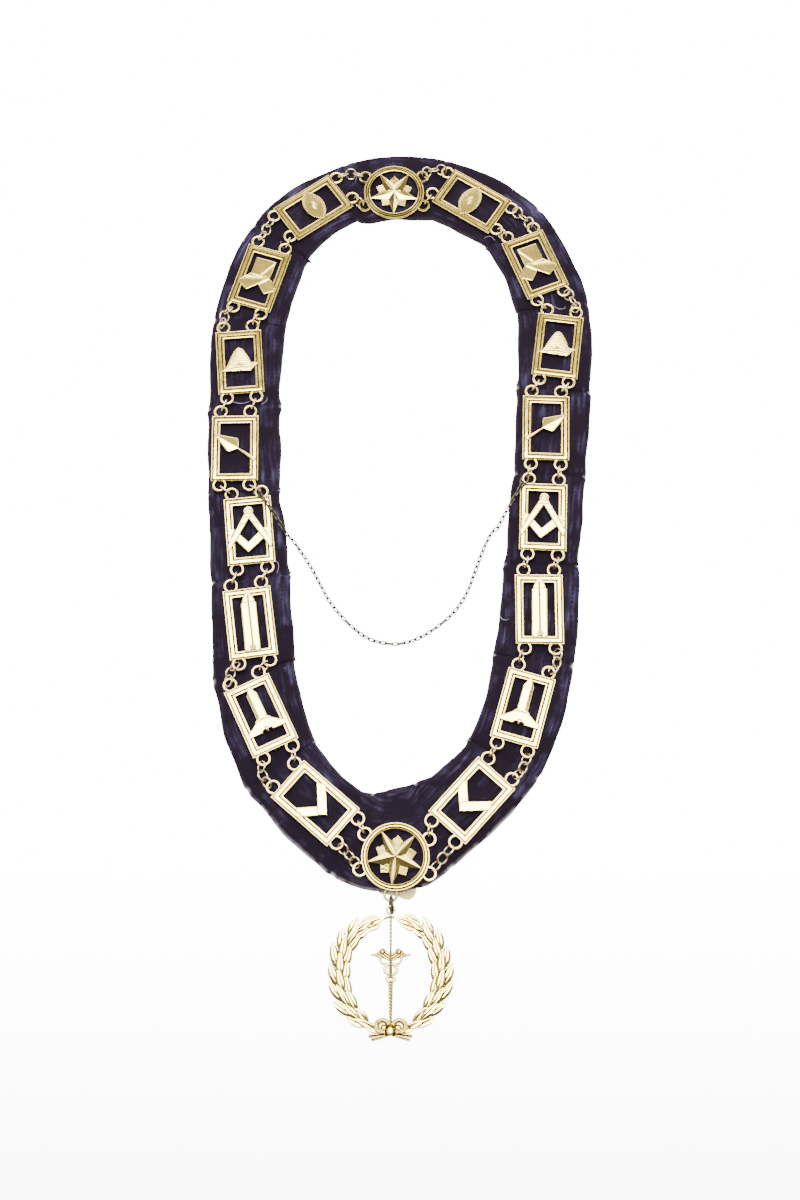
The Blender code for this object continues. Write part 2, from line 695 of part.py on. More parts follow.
def star_shell(middle, roll, inner):
    """The faceted five-pointed star, ridged from its peak to each tip."""
    rim = []
    for step in range(2 * STAR_POINTS):
        reach = inner * (STAR_OUTLINE[0][1] if step % 2 == 0 else STAR_VALLEY)
        angle = math.radians(roll - 90 + 180 * step / STAR_POINTS)
        rim.append((middle.x + reach * math.cos(angle), middle.y + reach * math.sin(angle)))
    count = len(rim)
    base = middle.z + EMBLEM_BASE + RELIEF_HEIGHT / 2
    points = [Vector((x, y, base)) for x, y in rim]
    for step, (x, y) in enumerate(rim):
        height = STAR_TIP_TOP if step % 2 == 0 else STAR_BLOCK_TOP + RELIEF_HEIGHT / 2
        points.append(Vector((x, y, middle.z + height)))
    points.append(Vector((middle.x, middle.y, middle.z + STAR_PEAK)))
    faces = [tuple(reversed(range(count)))]
    for i in range(count):
        j = (i + 1) % count
        faces.append((i, j, j + count, i + count))
        faces.append((i + count, j + count, 2 * count))
    return Shell(points, faces)


def ring_shell(middle, along, lean):
    """A jump ring whose plane holds a plan direction and leans from upright."""
    aside = UP.cross(along)
    angle = math.radians(lean)
    rise = UP * math.cos(angle) + aside * math.sin(angle)
    return hoop(middle, along, rise, RING_RADIUS, RING_WIRE, RING_SIDES, WIRE_SIDES)


def slack_reach(count, turn):
    """How far from its middle a slack strand reaches when its end spans turn from its line."""
    pitch = RING_PITCH * math.cos(turn / 3) if count == 3 else RING_PITCH / 2
    return SLACK_SPAN * math.cos(turn) + pitch


def slack_turn(count, half):
    """The turn of the end spans with which a strand reaches across half a gap, found by halving."""
    low, high = 0.0, math.pi / 2
    if slack_reach(count, 0.0) <= half:
        return 0.0
    for _ in range(HALVINGS):
        turn = (low + high) / 2
        if slack_reach(count, turn) > half:
            low = turn
        else:
            high = turn
    return low


def strand(name, start, end, count, side, lean_side):
    """One to three jump rings between two eyelets; a slack strand hangs away from the neck."""
    start = Vector((start.x, start.y, EYELET_Z))
    end = Vector((end.x, end.y, EYELET_Z))
    middle = (start + end) / 2
    along = (end - start).normalized()
    if count == 1:
        return piece(name, [ring_shell(middle, along, LONE_LEAN * lean_side)], LINK_METAL, True)
    aside = UP.cross(along) * side
    half = (end - start).length / 2
    turn = slack_turn(count, half)
    pitch = RING_PITCH * math.cos(turn / 3) if count == 3 else RING_PITCH / 2
    sag = aside * (half - pitch) * math.tan(turn)
    first = middle - along * pitch + sag
    last = middle + along * pitch + sag
    crown = middle + sag + aside * RING_PITCH * math.sin(turn / 3) if count == 3 else (first + last) / 2
    into = ((first - start).normalized() * END_PULL + (crown - first).normalized()).normalized()
    out = ((last - crown).normalized() + (end - last).normalized() * END_PULL).normalized()
    shells = [ring_shell(first, into, RING_LEAN * lean_side), ring_shell(last, out, -RING_LEAN * lean_side)]
    if count == 3:
        shells.insert(0, ring_shell(crown, along, FLAT_LEAN))
    return piece(name, shells, LINK_METAL, True)


class Section(NamedTuple):
    """A cut across the velvet.

    inner and outer are its edges in plan, the margins run from them to the flat core, and height
    is the core's share of VELVET_THICKNESS. lining is how far the lining shows past the outer
    edge, raised is true where the edge lies over the lining, and the lining is built on the
    sections with lined true.
    """

    inner: Vector
    outer: Vector
    inner_margin: float
    outer_margin: float
    height: float
    lining: float
    raised: bool
    lined: bool


def unit_sections(units, seats):
    """The sections along one side, from the top medallion to the bottom one."""
    sections = []
    places = (-PLAQUE_LENGTH / 2, 0.0, PLAQUE_LENGTH / 2)
    heights = (END_HEIGHT, 1.0, END_HEIGHT)
    for index, (unit, seat) in enumerate(zip(units, seats)):
        along = direction(seat.heading)
        cuts = [
            (seat.middle + along * place, seat.inward, height)
            for place, height in zip(places, heights)
        ]
        if index + 1 < len(seats):
            following = seats[index + 1]
            near = following.middle - direction(following.heading) * PLAQUE_LENGTH / 2
            inward = (seat.inward + following.inward).normalized()
            cuts.append(((cuts[-1][0] + near) / 2, inward, unit.crease))
        for (point, inward, height), inner, outer in zip(cuts, unit.inner, unit.outer):
            sections.append(Section(
                point + inward * inner * BAND_WIDTH,
                point - inward * outer * BAND_WIDTH,
                inner * BAND_WIDTH - PLAQUE_WIDTH / 2,
                outer * BAND_WIDTH - PLAQUE_WIDTH / 2,
                height, 0.0, False, height == END_HEIGHT))
    return sections


def fan_sections(fans, middle, outward, raised):
    """The sections around a medallion."""
    sections = []
    for fan in fans:
        outer = middle + Vector((fan.outer_aside, fan.outer_along * outward, 0.0)) * BAND_WIDTH
        inner = middle + Vector((fan.inner_aside, fan.inner_along * outward, 0.0)) * BAND_WIDTH
        margin = FAN_MARGIN * BAND_WIDTH
        show = fan.lining * BAND_WIDTH
        sections.append(Section(inner, outer, margin, margin, fan.height, show, raised, True))
    return sections


def band_sections():
    """Every section once around the neck opening."""
    return (
        fan_sections(TOP_FAN, TOP_MIDDLE, 1, False)
        + unit_sections(RIGHT, RIGHT_SEATS)
        + fan_sections(BOTTOM_FAN, BOTTOM_MIDDLE, -1, True)
        + list(reversed(unit_sections(LEFT, LEFT_SEATS)))
    )


def at_height(point, height):
    """The plan point lifted to a height."""
    return Vector((point.x, point.y, height))


def velvet_ring(section):
    """The velvet's outline in one section: rolled edges, a fold in each margin and the core."""
    across = (section.outer - section.inner).normalized()
    ring = []
    sides = ((section.inner, across, section.inner_margin), (section.outer, -across, section.outer_margin))
    for edge, into, margin in sides:
        half = []
        foot = VELVET_BASE if section.raised else EDGE_FOOT
        half.append(at_height(edge + into * UNDERSIDE_INSET, VELVET_BASE))
        half.append(at_height(edge, foot))
        for share, rise in MARGIN_PROFILE:
            height = VELVET_BASE + VELVET_THICKNESS * section.height * rise
            half.append(at_height(edge + into * margin * share, height))
        half.append(at_height(edge + into * margin, VELVET_BASE + VELVET_THICKNESS * section.height))
        ring.append(half)
    return ring[0] + list(reversed(ring[1]))


def lining_ring(section):
    """The lining's outline in one section: a thin sheet inside the velvet's edges."""
    across = (section.outer - section.inner).normalized()
    inner = section.inner + across * LINING_INSET
    reach = section.lining if section.lining > 0 else -LINING_INSET
    outer = section.outer + across * reach
    return [
        at_height(inner, 0.0), at_height(inner, LINING_THICKNESS),
        at_height(outer, LINING_THICKNESS), at_height(outer, 0.0),
    ]


def branch_rings(origin, hand):
    """The sections of one laurel branch, stepping out at each leaf's tip."""
    path = [
        Vector((hand * x * WREATH_WIDTH / 2, y * WREATH_LENGTH, breadth * WREATH_LENGTH))
        for x, y, breadth in WREATH_BRANCH
    ]
    rings = []
    spans = len(path) - 1
    for row in range(LEAF_ROWS + 1):
        for share, breadth_share in ((0.0, LEAF_NOTCH), (LEAF_HOOK, 1.0)):
            place = (row + share) / (LEAF_ROWS + LEAF_HOOK) * spans
            index = min(int(place), spans - 1)
            here = path[index].lerp(path[index + 1], place - index)
            along = path[index + 1] - path[index]
            along = Vector((along.x, along.y, 0.0)).normalized()
            normal = Vector((along.y, -along.x, 0.0)) * hand
            ring = []
            for side, rise in BRANCH_PROFILE:
                point = origin + Vector((here.x, here.y, 0.0)) + normal * side * here.z * breadth_share
                ring.append(at_height(point, origin.z + rise * WREATH_THICKNESS))
            rings.append(ring)
    return rings


def wreath(name, loop):
    """The pendant: two laurel branches, a winged staff between them and a bow, in one."""
    origin = Vector((loop.x, loop.y - WREATH_LOOP_DIAMETER / 2 + WREATH_LOOP_WIRE / 2, 0.0))
    right = Vector((1.0, 0.0, 0.0))
    along = Vector((0.0, 1.0, 0.0))
    half = WREATH_WIDTH / 2

    def place(x, y, height):
        return origin + Vector((x * half, y * WREATH_LENGTH, height * WREATH_THICKNESS))

    def small_hoop(middle, diameter, wire):
        radius = (diameter - wire) / 2
        return hoop(middle, right, along, radius, wire, SMALL_HOOP_SIDES, SMALL_WIRE_SIDES)

    def plan(outline, hand=1):
        return [(origin.x + hand * x * half, origin.y + y * WREATH_LENGTH) for x, y in outline]

    shells = [loft(branch_rings(origin, hand), False) for hand in (1, -1)]
    shells.append(small_hoop(loop, WREATH_LOOP_DIAMETER, WREATH_LOOP_WIRE))
    shells.append(rod(place(0, 0, ROD_RISE), place(0, BOW_PLACE, ROD_RISE), ROD_DIAMETER, ROD_SIDES))
    for hand in (1, -1):
        base, top = (WREATH_THICKNESS * rise for rise in WING_RISES)
        shells.append(prism(plan(WING, hand), base, top))
    for y, diameter, wire in SNAKE_LOOPS:
        shells.append(small_hoop(place(0, y, SNAKE_RISE), diameter, wire))
    for x, y in BOW_LOOPS:
        shells.append(small_hoop(place(x, y, BOW_RISE), BOW_LOOP_DIAMETER, BOW_WIRE))
    for tail in BOW_TAILS:
        base = WREATH_THICKNESS * TAIL_RISE
        shells.append(prism(plan(tail), base, base + TAIL_THICKNESS))
    knot = []
    for share, rise in KNOT_PROFILE:
        middle = place(0, BOW_PLACE, rise)
        ring = []
        for turn in range(KNOT_SIDES):
            spin = 2 * math.pi * turn / KNOT_SIDES
            x = KNOT_WIDTH / 2 * share * math.cos(spin)
            y = KNOT_LENGTH / 2 * share * math.sin(spin)
            ring.append(middle + Vector((x, y, 0.0)))
        knot.append(ring)
    shells.append(loft(knot, False))
    return piece(name, shells, GILT_METAL)


def pendant_ring(name, eyelet, loop):
    """The upright ring through the medallion's lowest eyelet and the wreath's loop."""
    radius = (PENDANT_RING_DIAMETER - RING_WIRE) / 2
    chord = loop - eyelet
    chord_length = chord.length
    rise = math.sqrt(radius ** 2 - (chord_length / 2) ** 2)
    out = Vector((chord.x, chord.y, 0.0)).normalized()
    lift = UP * (math.hypot(chord.x, chord.y) / chord_length) - out * (chord.z / chord_length)
    middle = (eyelet + loop) / 2 + lift * rise
    return piece(
        name, [hoop(middle, out, UP, radius, RING_WIRE, PENDANT_RING_SIDES, WIRE_SIDES)], LINK_METAL, True)


def stay_chain(name):
    """The stay chain's body: a round cord along its route."""
    curve = bpy.data.curves.new(name, "CURVE")
    curve.dimensions = "3D"
    curve.bevel_depth = STAY_CHAIN_WIDTH / 2
    curve.bevel_resolution = 0
    curve.use_fill_caps = True
    spline = curve.splines.new("POLY")
    spline.points.add(len(STAY_ROUTE) - 1)
    for point, place in zip(spline.points, STAY_ROUTE):
        point.co = (*place, 1.0)
    body = bpy.data.objects.new(name, curve)
    bpy.context.scene.collection.objects.link(body)
    curve.materials.append(LINK_METAL)
    return body


SIDES = (("left", LEFT, LEFT_SEATS, -1), ("right", RIGHT, RIGHT_SEATS, 1))
SECTIONS = band_sections()
VELVET_RINGS = [velvet_ring(section) for section in SECTIONS]
LINING_RINGS = [lining_ring(section) for section in SECTIONS if section.lined]
piece("velvet_band", [loft(VELVET_RINGS, True)], VELVET_CLOTH, True)
piece("lining", [loft(LINING_RINGS, True)], LINING_CLOTH, True)

PENDANT_EYELET_Z = METAL_BASE + PENDANT_EYELET_RISE
medallion("medallion_top", TOP_MIDDLE, TOP_ROLL, [(turn, EYELET_Z) for turn in TOP_EYELETS])
medallion(
    "medallion_bottom", BOTTOM_MIDDLE, BOTTOM_ROLL,
    [(turn, EYELET_Z) for turn in BOTTOM_EYELETS] + [(PENDANT_TURN, PENDANT_EYELET_Z)])

for side_name, units, seats, side in SIDES:
    for unit, seat in zip(units, seats):
        mirrored = side > 0 and unit.emblem in MIRRORED_ON_RIGHT
        plaque(f"plaque_{unit.emblem}_{side_name}", unit.emblem, seat, mirrored)

for side_name, units, seats, side in SIDES:
    if side < 0:
        top_turns = (TOP_EYELETS.lower_left, TOP_EYELETS.upper_left)
        bottom_turns = (BOTTOM_EYELETS.upper_left, BOTTOM_EYELETS.lower_left)
    else:
        top_turns = (TOP_EYELETS.lower_right, TOP_EYELETS.upper_right)
        bottom_turns = (BOTTOM_EYELETS.upper_right, BOTTOM_EYELETS.lower_right)
    ends = {
        row: (medallion_eyelet(TOP_MIDDLE, top_turn), medallion_eyelet(BOTTOM_MIDDLE, bottom_turn))
        for row, top_turn, bottom_turn in zip(("inner", "outer"), top_turns, bottom_turns)
    }
    counts = [unit.outer_links for unit in units] + [LAST_LINKS[0 if side < 0 else 1]]
    for gap in range(len(units) + 1):
        for row, across in (("inner", 1), ("outer", -1)):
            start = seats[gap - 1].eyelet(1, across) if gap else ends[row][0]
            end = seats[gap].eyelet(-1, across) if gap < len(units) else ends[row][1]
            count = 1 if row == "inner" else counts[gap]
            lean_side = 1 if gap % 2 else -1
            strand(f"links_{side_name}_{gap}_{row}", start, end, count, side, lean_side)

PENDANT_EYELET = medallion_eyelet(BOTTOM_MIDDLE, PENDANT_TURN)
PENDANT_ENTRY = Vector((PENDANT_EYELET.x, PENDANT_EYELET.y - PENDANT_RING_ENTRY, PENDANT_EYELET_Z))
WREATH_LOOP = Vector((PENDANT_EYELET.x, PENDANT_EYELET.y - PENDANT_DROP, WREATH_LOOP_Z))
pendant_ring("pendant_ring", PENDANT_ENTRY, WREATH_LOOP)
wreath("wreath", WREATH_LOOP)
stay_chain("stay_chain")


def centre(bodies):
    """Move every body so that the bottom centre of their box is the origin."""
    bpy.context.view_layer.update()
    corners = [Vector(corner) for body in bodies for corner in body.bound_box]
    low = Vector([min(corner[axis] for corner in corners) for axis in range(3)])
    high = Vector([max(corner[axis] for corner in corners) for axis in range(3)])
    shift = Matrix.Translation((-(low.x + high.x) / 2, -(low.y + high.y) / 2, -low.z))
    for body in bodies:
        body.data.transform(shift)


centre(list(bpy.data.objects))
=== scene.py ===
"""Dresses the chain collar: struck plaques, star medallions, rings, stay chain, pendant and velvet.

Inside the classes lengths are millimetres and angles degrees, in the collar's own frame: +Y towards
the top medallion, +X to the right and +Z up from the surface that it lies on. Each surface is an
array of places worked out from two parameters, and becomes metres when its mesh is made.
"""

import logging
import math
from dataclasses import dataclass, field
from enum import Enum
from typing import Callable

import bmesh
import bpy
import numpy as np
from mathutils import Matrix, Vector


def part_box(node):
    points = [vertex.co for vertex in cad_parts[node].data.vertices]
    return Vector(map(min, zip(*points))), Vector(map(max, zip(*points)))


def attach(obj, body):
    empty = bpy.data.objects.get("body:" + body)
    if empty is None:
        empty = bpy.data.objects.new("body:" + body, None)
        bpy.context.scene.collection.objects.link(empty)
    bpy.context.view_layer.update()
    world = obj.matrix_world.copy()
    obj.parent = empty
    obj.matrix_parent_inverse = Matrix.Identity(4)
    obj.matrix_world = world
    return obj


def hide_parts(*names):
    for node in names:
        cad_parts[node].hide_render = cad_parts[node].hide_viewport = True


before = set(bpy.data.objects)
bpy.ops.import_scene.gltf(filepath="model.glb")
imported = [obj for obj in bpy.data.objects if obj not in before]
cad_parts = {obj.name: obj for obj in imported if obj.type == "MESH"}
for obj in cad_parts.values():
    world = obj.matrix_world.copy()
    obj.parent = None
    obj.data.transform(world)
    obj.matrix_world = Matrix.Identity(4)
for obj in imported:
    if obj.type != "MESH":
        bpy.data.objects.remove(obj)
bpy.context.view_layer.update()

Array = np.ndarray
Point = tuple[float, float]
Place = tuple[float, float, float]
Colour = tuple[float, float, float]
Table = tuple[tuple[float, ...], ...]
Socket = bpy.types.NodeSocket
LOG = logging.getLogger("collar")
MM = 0.001
UP = np.array((0.0, 0.0, 1.0))

# Height of the metal's underside above the surface that the collar lies on
METAL_BASE = 4.6
# The wire eyelets: height and radius of the loop, thickness of the wire, and how far a loop's
# middle lies aside from a plaque's own and beyond it
EYELET_Z = 7.2
EYELET_RADIUS = 3.55
EYELET_WIRE = 1.5
EYELET_ASIDE = 9.0
EYELET_BEYOND = 24.1


def turned(angle: float) -> Array:
    """The unit vector in plan at an angle counted from +X."""
    return np.array((math.cos(math.radians(angle)), math.sin(math.radians(angle))))


def smooth_step(value: Array, low: float, high: float) -> Array:
    """0 below low, 1 above high and a smooth rise between them."""
    share = np.clip((value - low) / (high - low), 0.0, 1.0)
    return share * share * (3.0 - 2.0 * share)


def ripple(places: Array, wavelength: float, seed: int, octaves: int = 3) -> Array:
    """Unrepeating soft waves: a sum of sines whose directions a seeded generator picks.

    Args:
        places: Coordinates, with the last axis holding them.
        wavelength: Length of the longest wave, in the unit of the places.
        seed: Picks the pattern.
        octaves: How many times finer waves of half the length and height are added.

    Returns:
        Heights of about -1 to 1, one for each place.
    """
    generator = np.random.default_rng(seed)
    total = np.zeros(places.shape[:-1])
    for octave in range(octaves):
        for _ in range(6):
            direction = generator.normal(size=places.shape[-1])
            direction *= 2.0 * math.pi * 2**octave / wavelength / np.linalg.norm(direction)
            phase = generator.uniform(0.0, 2.0 * math.pi)
            total += np.sin(places @ direction + phase) / 2**octave
    return total / 4.0


def grid_faces(rows: int, columns: int, wrap_rows: bool, wrap_columns: bool) -> Array:
    """Quads between neighbouring rows and columns of a grid of points.

    Args:
        rows: Number of rows.
        columns: Number of points in a row.
        wrap_rows: Whether the last row joins the first.
        wrap_columns: Whether each row closes on itself.

    Returns:
        Point indices, four to a face.
    """
    row = np.arange(rows if wrap_rows else rows - 1)[:, None]
    column = np.arange(columns if wrap_columns else columns - 1)[None, :]
    below = (row + 1) % rows
    beside = (column + 1) % columns
    corners = (
        row * columns + column, row * columns + beside,
        below * columns + beside, below * columns + column,
    )
    return np.stack(np.broadcast_arrays(*corners), axis=-1).reshape(-1, 4)


@dataclass
class Surfaces:
    """Gathers closed surfaces, worked out as arrays, and makes one mesh of them."""

    points: list[Array] = field(default_factory=list)
    quads: list[Array] = field(default_factory=list)
    recesses: list[Array] = field(default_factory=list)
    extras: dict[str, list[Array]] = field(default_factory=dict)
    count: int = 0

    def add(self, points: Array, quads: Array, recess: Array | float = 0.0,
            **extras: Array) -> None:
        """Add one or several equal closed surfaces, with their faces turned outwards.

        The volume under the faces, a sum of corner triple products, is negative where they point
        inwards, and their order is then reversed.

        Args:
            points: Places of shape (..., 3); all axes but the last two are copies.
            quads: Point indices into one copy.
            recess: 1 in a hollow and 0 on a crest, one for each point or for all.
            extras: More values for each point, under the attribute's name.
        """
        copies = points.reshape(-1, points.shape[-2], 3)
        first = copies[0] - copies[0].mean(axis=0)
        a, b, c, d = (first[quads[:, corner]] for corner in range(4))
        volume = np.einsum("ij,ij->", a, np.cross(b, c)) + np.einsum("ij,ij->", a, np.cross(c, d))
        ordered = quads if volume > 0 else quads[:, ::-1]
        shifts = self.count + np.arange(len(copies)) * copies.shape[1]
        self.points.append(copies.reshape(-1, 3))
        self.quads.append((ordered[None] + shifts[:, None, None]).reshape(-1, 4))
        self.recesses.append(np.broadcast_to(recess, copies.shape[:2]).reshape(-1))
        for name, values in extras.items():
            self.extras.setdefault(name, []).append(np.asarray(values).reshape(-1))
        self.count += copies.shape[0] * copies.shape[1]

    def grid(self, points: Array, wrapped: bool, recess: Array | float = 0.0,
             **extras: Array) -> None:
        """Add one closed surface, given as rows of points that each close on themselves.

        Args:
            points: Places of shape (rows, columns, 3).
            wrapped: Whether the last row joins the first.
            recess: As for add.
            extras: As for add.
        """
        quads = grid_faces(points.shape[0], points.shape[1], wrapped, True)
        self.add(points.reshape(-1, 3), quads, np.reshape(recess, -1), **extras)

    def tubes(self, points: Array, closed: bool, recess: Array | float = 0.0,
              underside_shade: float = 1.0) -> None:
        """Add tubes, whose rings of points run around a wire; an open one's ends are drawn shut.

        The recess grows by underside_shade * (0.5 - 0.5 * height in the ring), so it is most
        underneath: painted shade on each wire's lower side.

        Args:
            points: Places of shape (..., rings, sides, 3).
            closed: Whether the wire joins its own start.
            recess: How recessed the wire's upper side is, for all of it or for its rings and sides.
            underside_shade: How much more recessed its lower side is, which paints shade under the
                wire.
        """
        rings, sides = points.shape[-3:-1]
        # Painted shade: each wire darkens towards its lower side.
        drop = points[..., 2] - points[..., 2].mean(axis=-1, keepdims=True)
        under = 0.5 - 0.5 * drop / (np.abs(drop).max(axis=-1, keepdims=True) + 1e-9)
        recess = np.clip(recess + underside_shade * under, 0.0, 1.0)
        if not closed:
            ends = points[..., [0, -1], :, :].mean(axis=-2, keepdims=True)
            ends = np.broadcast_to(ends, points[..., [0, -1], :, :].shape)
            points = np.concatenate((ends[..., :1, :, :], points, ends[..., 1:, :, :]), axis=-3)
            recess = np.concatenate((recess[..., :1, :], recess, recess[..., -1:, :]), axis=-2)
            rings += 2
        quads = grid_faces(rings, sides, closed, True)
        flat = points.reshape(-1, rings * sides, 3)
        self.add(flat, quads, recess.reshape(-1, rings * sides))

    def build(self, name: str, finish: "Finish", sharp: float) -> bpy.types.Object:
        """Make the mesh, give it its finish and let it ride on the collar.

        Args:
            name: The new piece's name.
            finish: Its material.
            sharp: Edges that turn more than this stay crisp.

        Returns:
            The new piece, at the origin, with its place in its mesh.
        """
        mesh = bpy.data.meshes.new(name)
        places = np.concatenate(self.points) * MM
        mesh.from_pydata(places.tolist(), [], np.concatenate(self.quads).tolist())
        values = {"recess": self.recesses, **self.extras}
        for key, arrays in values.items():
            layer = mesh.attributes.new(key, "FLOAT", "POINT")
            layer.data.foreach_set("value", np.concatenate(arrays).astype(np.float32))
        mesh.polygons.foreach_set("use_smooth", np.ones(len(mesh.polygons), dtype=bool))
        mesh.validate()
        drawn_shut(mesh)
        mesh.set_sharp_from_angle(angle=math.radians(sharp))
        mesh.materials.append(finish.material())
        piece = bpy.data.objects.new(name, mesh)
        bpy.context.scene.collection.objects.link(piece)
        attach(piece, "root")
        LOG.info("%s: %d faces", name, len(mesh.polygons))
        return piece

    def dress(self, node: str, finish: "Finish", sharp: float) -> bpy.types.Object:
        """Make the piece that takes a node's place.

        Args:
            node: The node.
            finish: The piece's material.
            sharp: Edges that turn more than this stay crisp.

        Returns:
            The piece.
        """
        piece = self.build(f"dressed_{node}", finish, sharp)
        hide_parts(node)
        return piece


def drawn_shut(mesh: bpy.types.Mesh) -> None:
    """Merge the points that share a place, so that a tube's drawn ends become one point each.

    Args:
        mesh: The mesh, which is changed.
    """
    shell = bmesh.new()
    shell.from_mesh(mesh)
    bmesh.ops.remove_doubles(shell, verts=shell.verts, dist=1e-7)
    shell.to_mesh(mesh)
    shell.free()


# --- finishes


class Nodes:
    """Short calls for building one material's node tree."""

    def __init__(self, name: str) -> None:
        """Start an empty tree that ends in one shader.

        Args:
            name: The new material's name.
        """
        self.material = bpy.data.materials.new(name)
        self.material.use_nodes = True
        self.tree = self.material.node_tree
        self.shader = self.tree.nodes["Principled BSDF"]

    def add(self, kind: str, **settings: object) -> bpy.types.Node:
        """A new node; a setting that names an input fills it and any other is a property.

        Args:
            kind: The node's type.
            settings: Values or other nodes' outputs, named with _ for a space.

        Returns:
            The node.
        """
        node = self.tree.nodes.new(kind)
        for key, value in settings.items():
            entry = key.replace("_", " ")
            if isinstance(value, Socket) or entry in node.inputs:
                self.feed(node.inputs[entry], value)
            else:
                setattr(node, key, value)
        return node

    def feed(self, entry: Socket, value: object) -> None:
        """Fill an input with a value, or join another node's output to it.

        Args:
            entry: The input.
            value: The value or output.
        """
        if isinstance(value, Socket):
            self.tree.links.new(value, entry)
        else:
            entry.default_value = value

    def surface(self, **settings: object) -> None:
        """Fill the shader's inputs, named with _ for a space, with values or outputs."""
        for key, value in settings.items():
            self.feed(self.shader.inputs[key.replace("_", " ")], value)

    def stretched(self, vector: Socket, scale: Place) -> Socket:
        """A vector with each of its parts multiplied."""
        return self.add("ShaderNodeMapping", Vector=vector, Scale=scale).outputs[0]

    def places(self, scale: Place = (1.0, 1.0, 1.0)) -> Socket:
        """The piece's own coordinates, stretched."""
        return self.stretched(self.add("ShaderNodeTexCoord").outputs["Object"], scale)

    def attribute(self, name: str) -> Socket:
        """A value that the mesh keeps for each point."""
        return self.add("ShaderNodeAttribute", attribute_name=name).outputs["Fac"]

    def noise(self, vector: Socket, scale: float, detail: float = 3.0) -> Socket:
        """Soft noise over a vector."""
        return self.add("ShaderNodeTexNoise", Vector=vector, Scale=scale, Detail=detail).outputs[0]

    def ramp(self, value: Socket, low: float, high: float,
             start: float = 0.0, end: float = 1.0) -> Socket:
        """A value mapped from one range to another and held inside it.

        Args:
            value: The value.
            low: Where the first range starts.
            high: Where it ends.
            start: What low becomes.
            end: What high becomes.

        Returns:
            The mapped value.
        """
        limits = {"From_Min": low, "From_Max": high, "To_Min": start, "To_Max": end}
        return self.add("ShaderNodeMapRange", Value=value, **limits).outputs[0]

    def math(self, operation: str, first: object, second: object) -> Socket:
        """One sum, product or choice of two values or outputs.

        Args:
            operation: What is done with them.
            first: The first.
            second: The second.

        Returns:
            The outcome.
        """
        node = self.add("ShaderNodeMath", operation=operation)
        self.feed(node.inputs[0], first)
        self.feed(node.inputs[1], second)
        return node.outputs[0]

    def mix(self, factor: Socket, first: object, second: object) -> Socket:
        """Two colours mixed by a factor.

        Args:
            factor: The second colour's share.
            first: A colour or an output.
            second: The other.

        Returns:
            The mixed colour.
        """
        node = self.add("ShaderNodeMix", data_type="RGBA")
        self.feed(node.inputs[0], factor)
        for entry, colour in zip(node.inputs[6:8], (first, second)):
            self.feed(entry, colour if isinstance(colour, Socket) else (*colour, 1.0))
        return node.outputs[2]

    def bump(self, height: Socket, distance: float, strength: float = 1.0,
             normal: Socket | None = None) -> Socket:
        """A normal bent by a height.

        Args:
            height: The height, from 0 to 1.
            distance: How many metres 1 stands for.
            strength: How much of the bend is taken.
            normal: A normal that is bent already.

        Returns:
            The normal.
        """
        node = self.add("ShaderNodeBump", Height=height, Distance=distance, Strength=strength)
        if normal is not None:
            self.feed(node.inputs["Normal"], normal)
        return node.outputs[0]


@dataclass(frozen=True)
class Finish:
    """A named finish of the record, from which a material is made once."""

    name: str
    slot: str

    def material(self) -> bpy.types.Material:
        """The finish's material, made when it is first asked for.

        Returns:
            The material.
        """
        made = bpy.data.materials.get(self.name)
        if made is None:
            nodes = Nodes(self.name)
            self.dress(nodes)
            made = nodes.material
        return made

    def dress(self, nodes: Nodes) -> None:
        """Build the node tree."""
        raise NotImplementedError


@dataclass(frozen=True)
class Gilding(Finish):
    """Metal with bright crests, darker hollows, fine scratches and slightly uneven polish.

    bright and deep mix on the crests. tarnish_and_shade fills the hollows that the recess marks:
    patina in the grooves, and painted shade beside crests, along rims, on walls and under wires.
    polish is the roughness, and grain the depth of the hammering in millimetres.
    """

    bright: Colour
    deep: Colour
    tarnish_and_shade: Colour
    polish: float
    grain: float = 0.008

    def dress(self, nodes: Nodes) -> None:
        """Colour by wear and recess, roughness by soft noise, and a fine hammered bump.

        Args:
            nodes: The material's tree.
        """
        places = nodes.places()
        broad = nodes.noise(places, 90.0)
        fine = nodes.noise(places, 1400.0, 4.0)
        scratched = nodes.noise(nodes.places((6.0, 1.0, 1.0)), 900.0, 2.0)
        crests = nodes.mix(nodes.ramp(broad, 0.35, 0.65), self.bright, self.deep)
        # The recess mixes in tarnish_and_shade: patina in the grooves, painted shade beside crests,
        # along rims, on walls and under wires.
        hollow = nodes.ramp(nodes.attribute("recess"), 0.12, 0.85)
        filled = nodes.math("MULTIPLY", hollow, nodes.ramp(fine, 0.3, 0.7, 0.75, 1.0))
        uneven = nodes.math("ADD", broad, scratched)
        rough = nodes.ramp(uneven, 0.7, 1.3, self.polish - 0.06, self.polish + 0.08)
        hammered = nodes.bump(fine, self.grain * MM, 0.6)
        nodes.surface(
            Base_Color=nodes.mix(filled, crests, self.tarnish_and_shade),
            Roughness=nodes.math("ADD", rough, nodes.math("MULTIPLY", hollow, 0.25)),
            Normal=nodes.bump(scratched, self.grain * 0.5 * MM, 0.5, hammered),
            Metallic=1.0,
        )


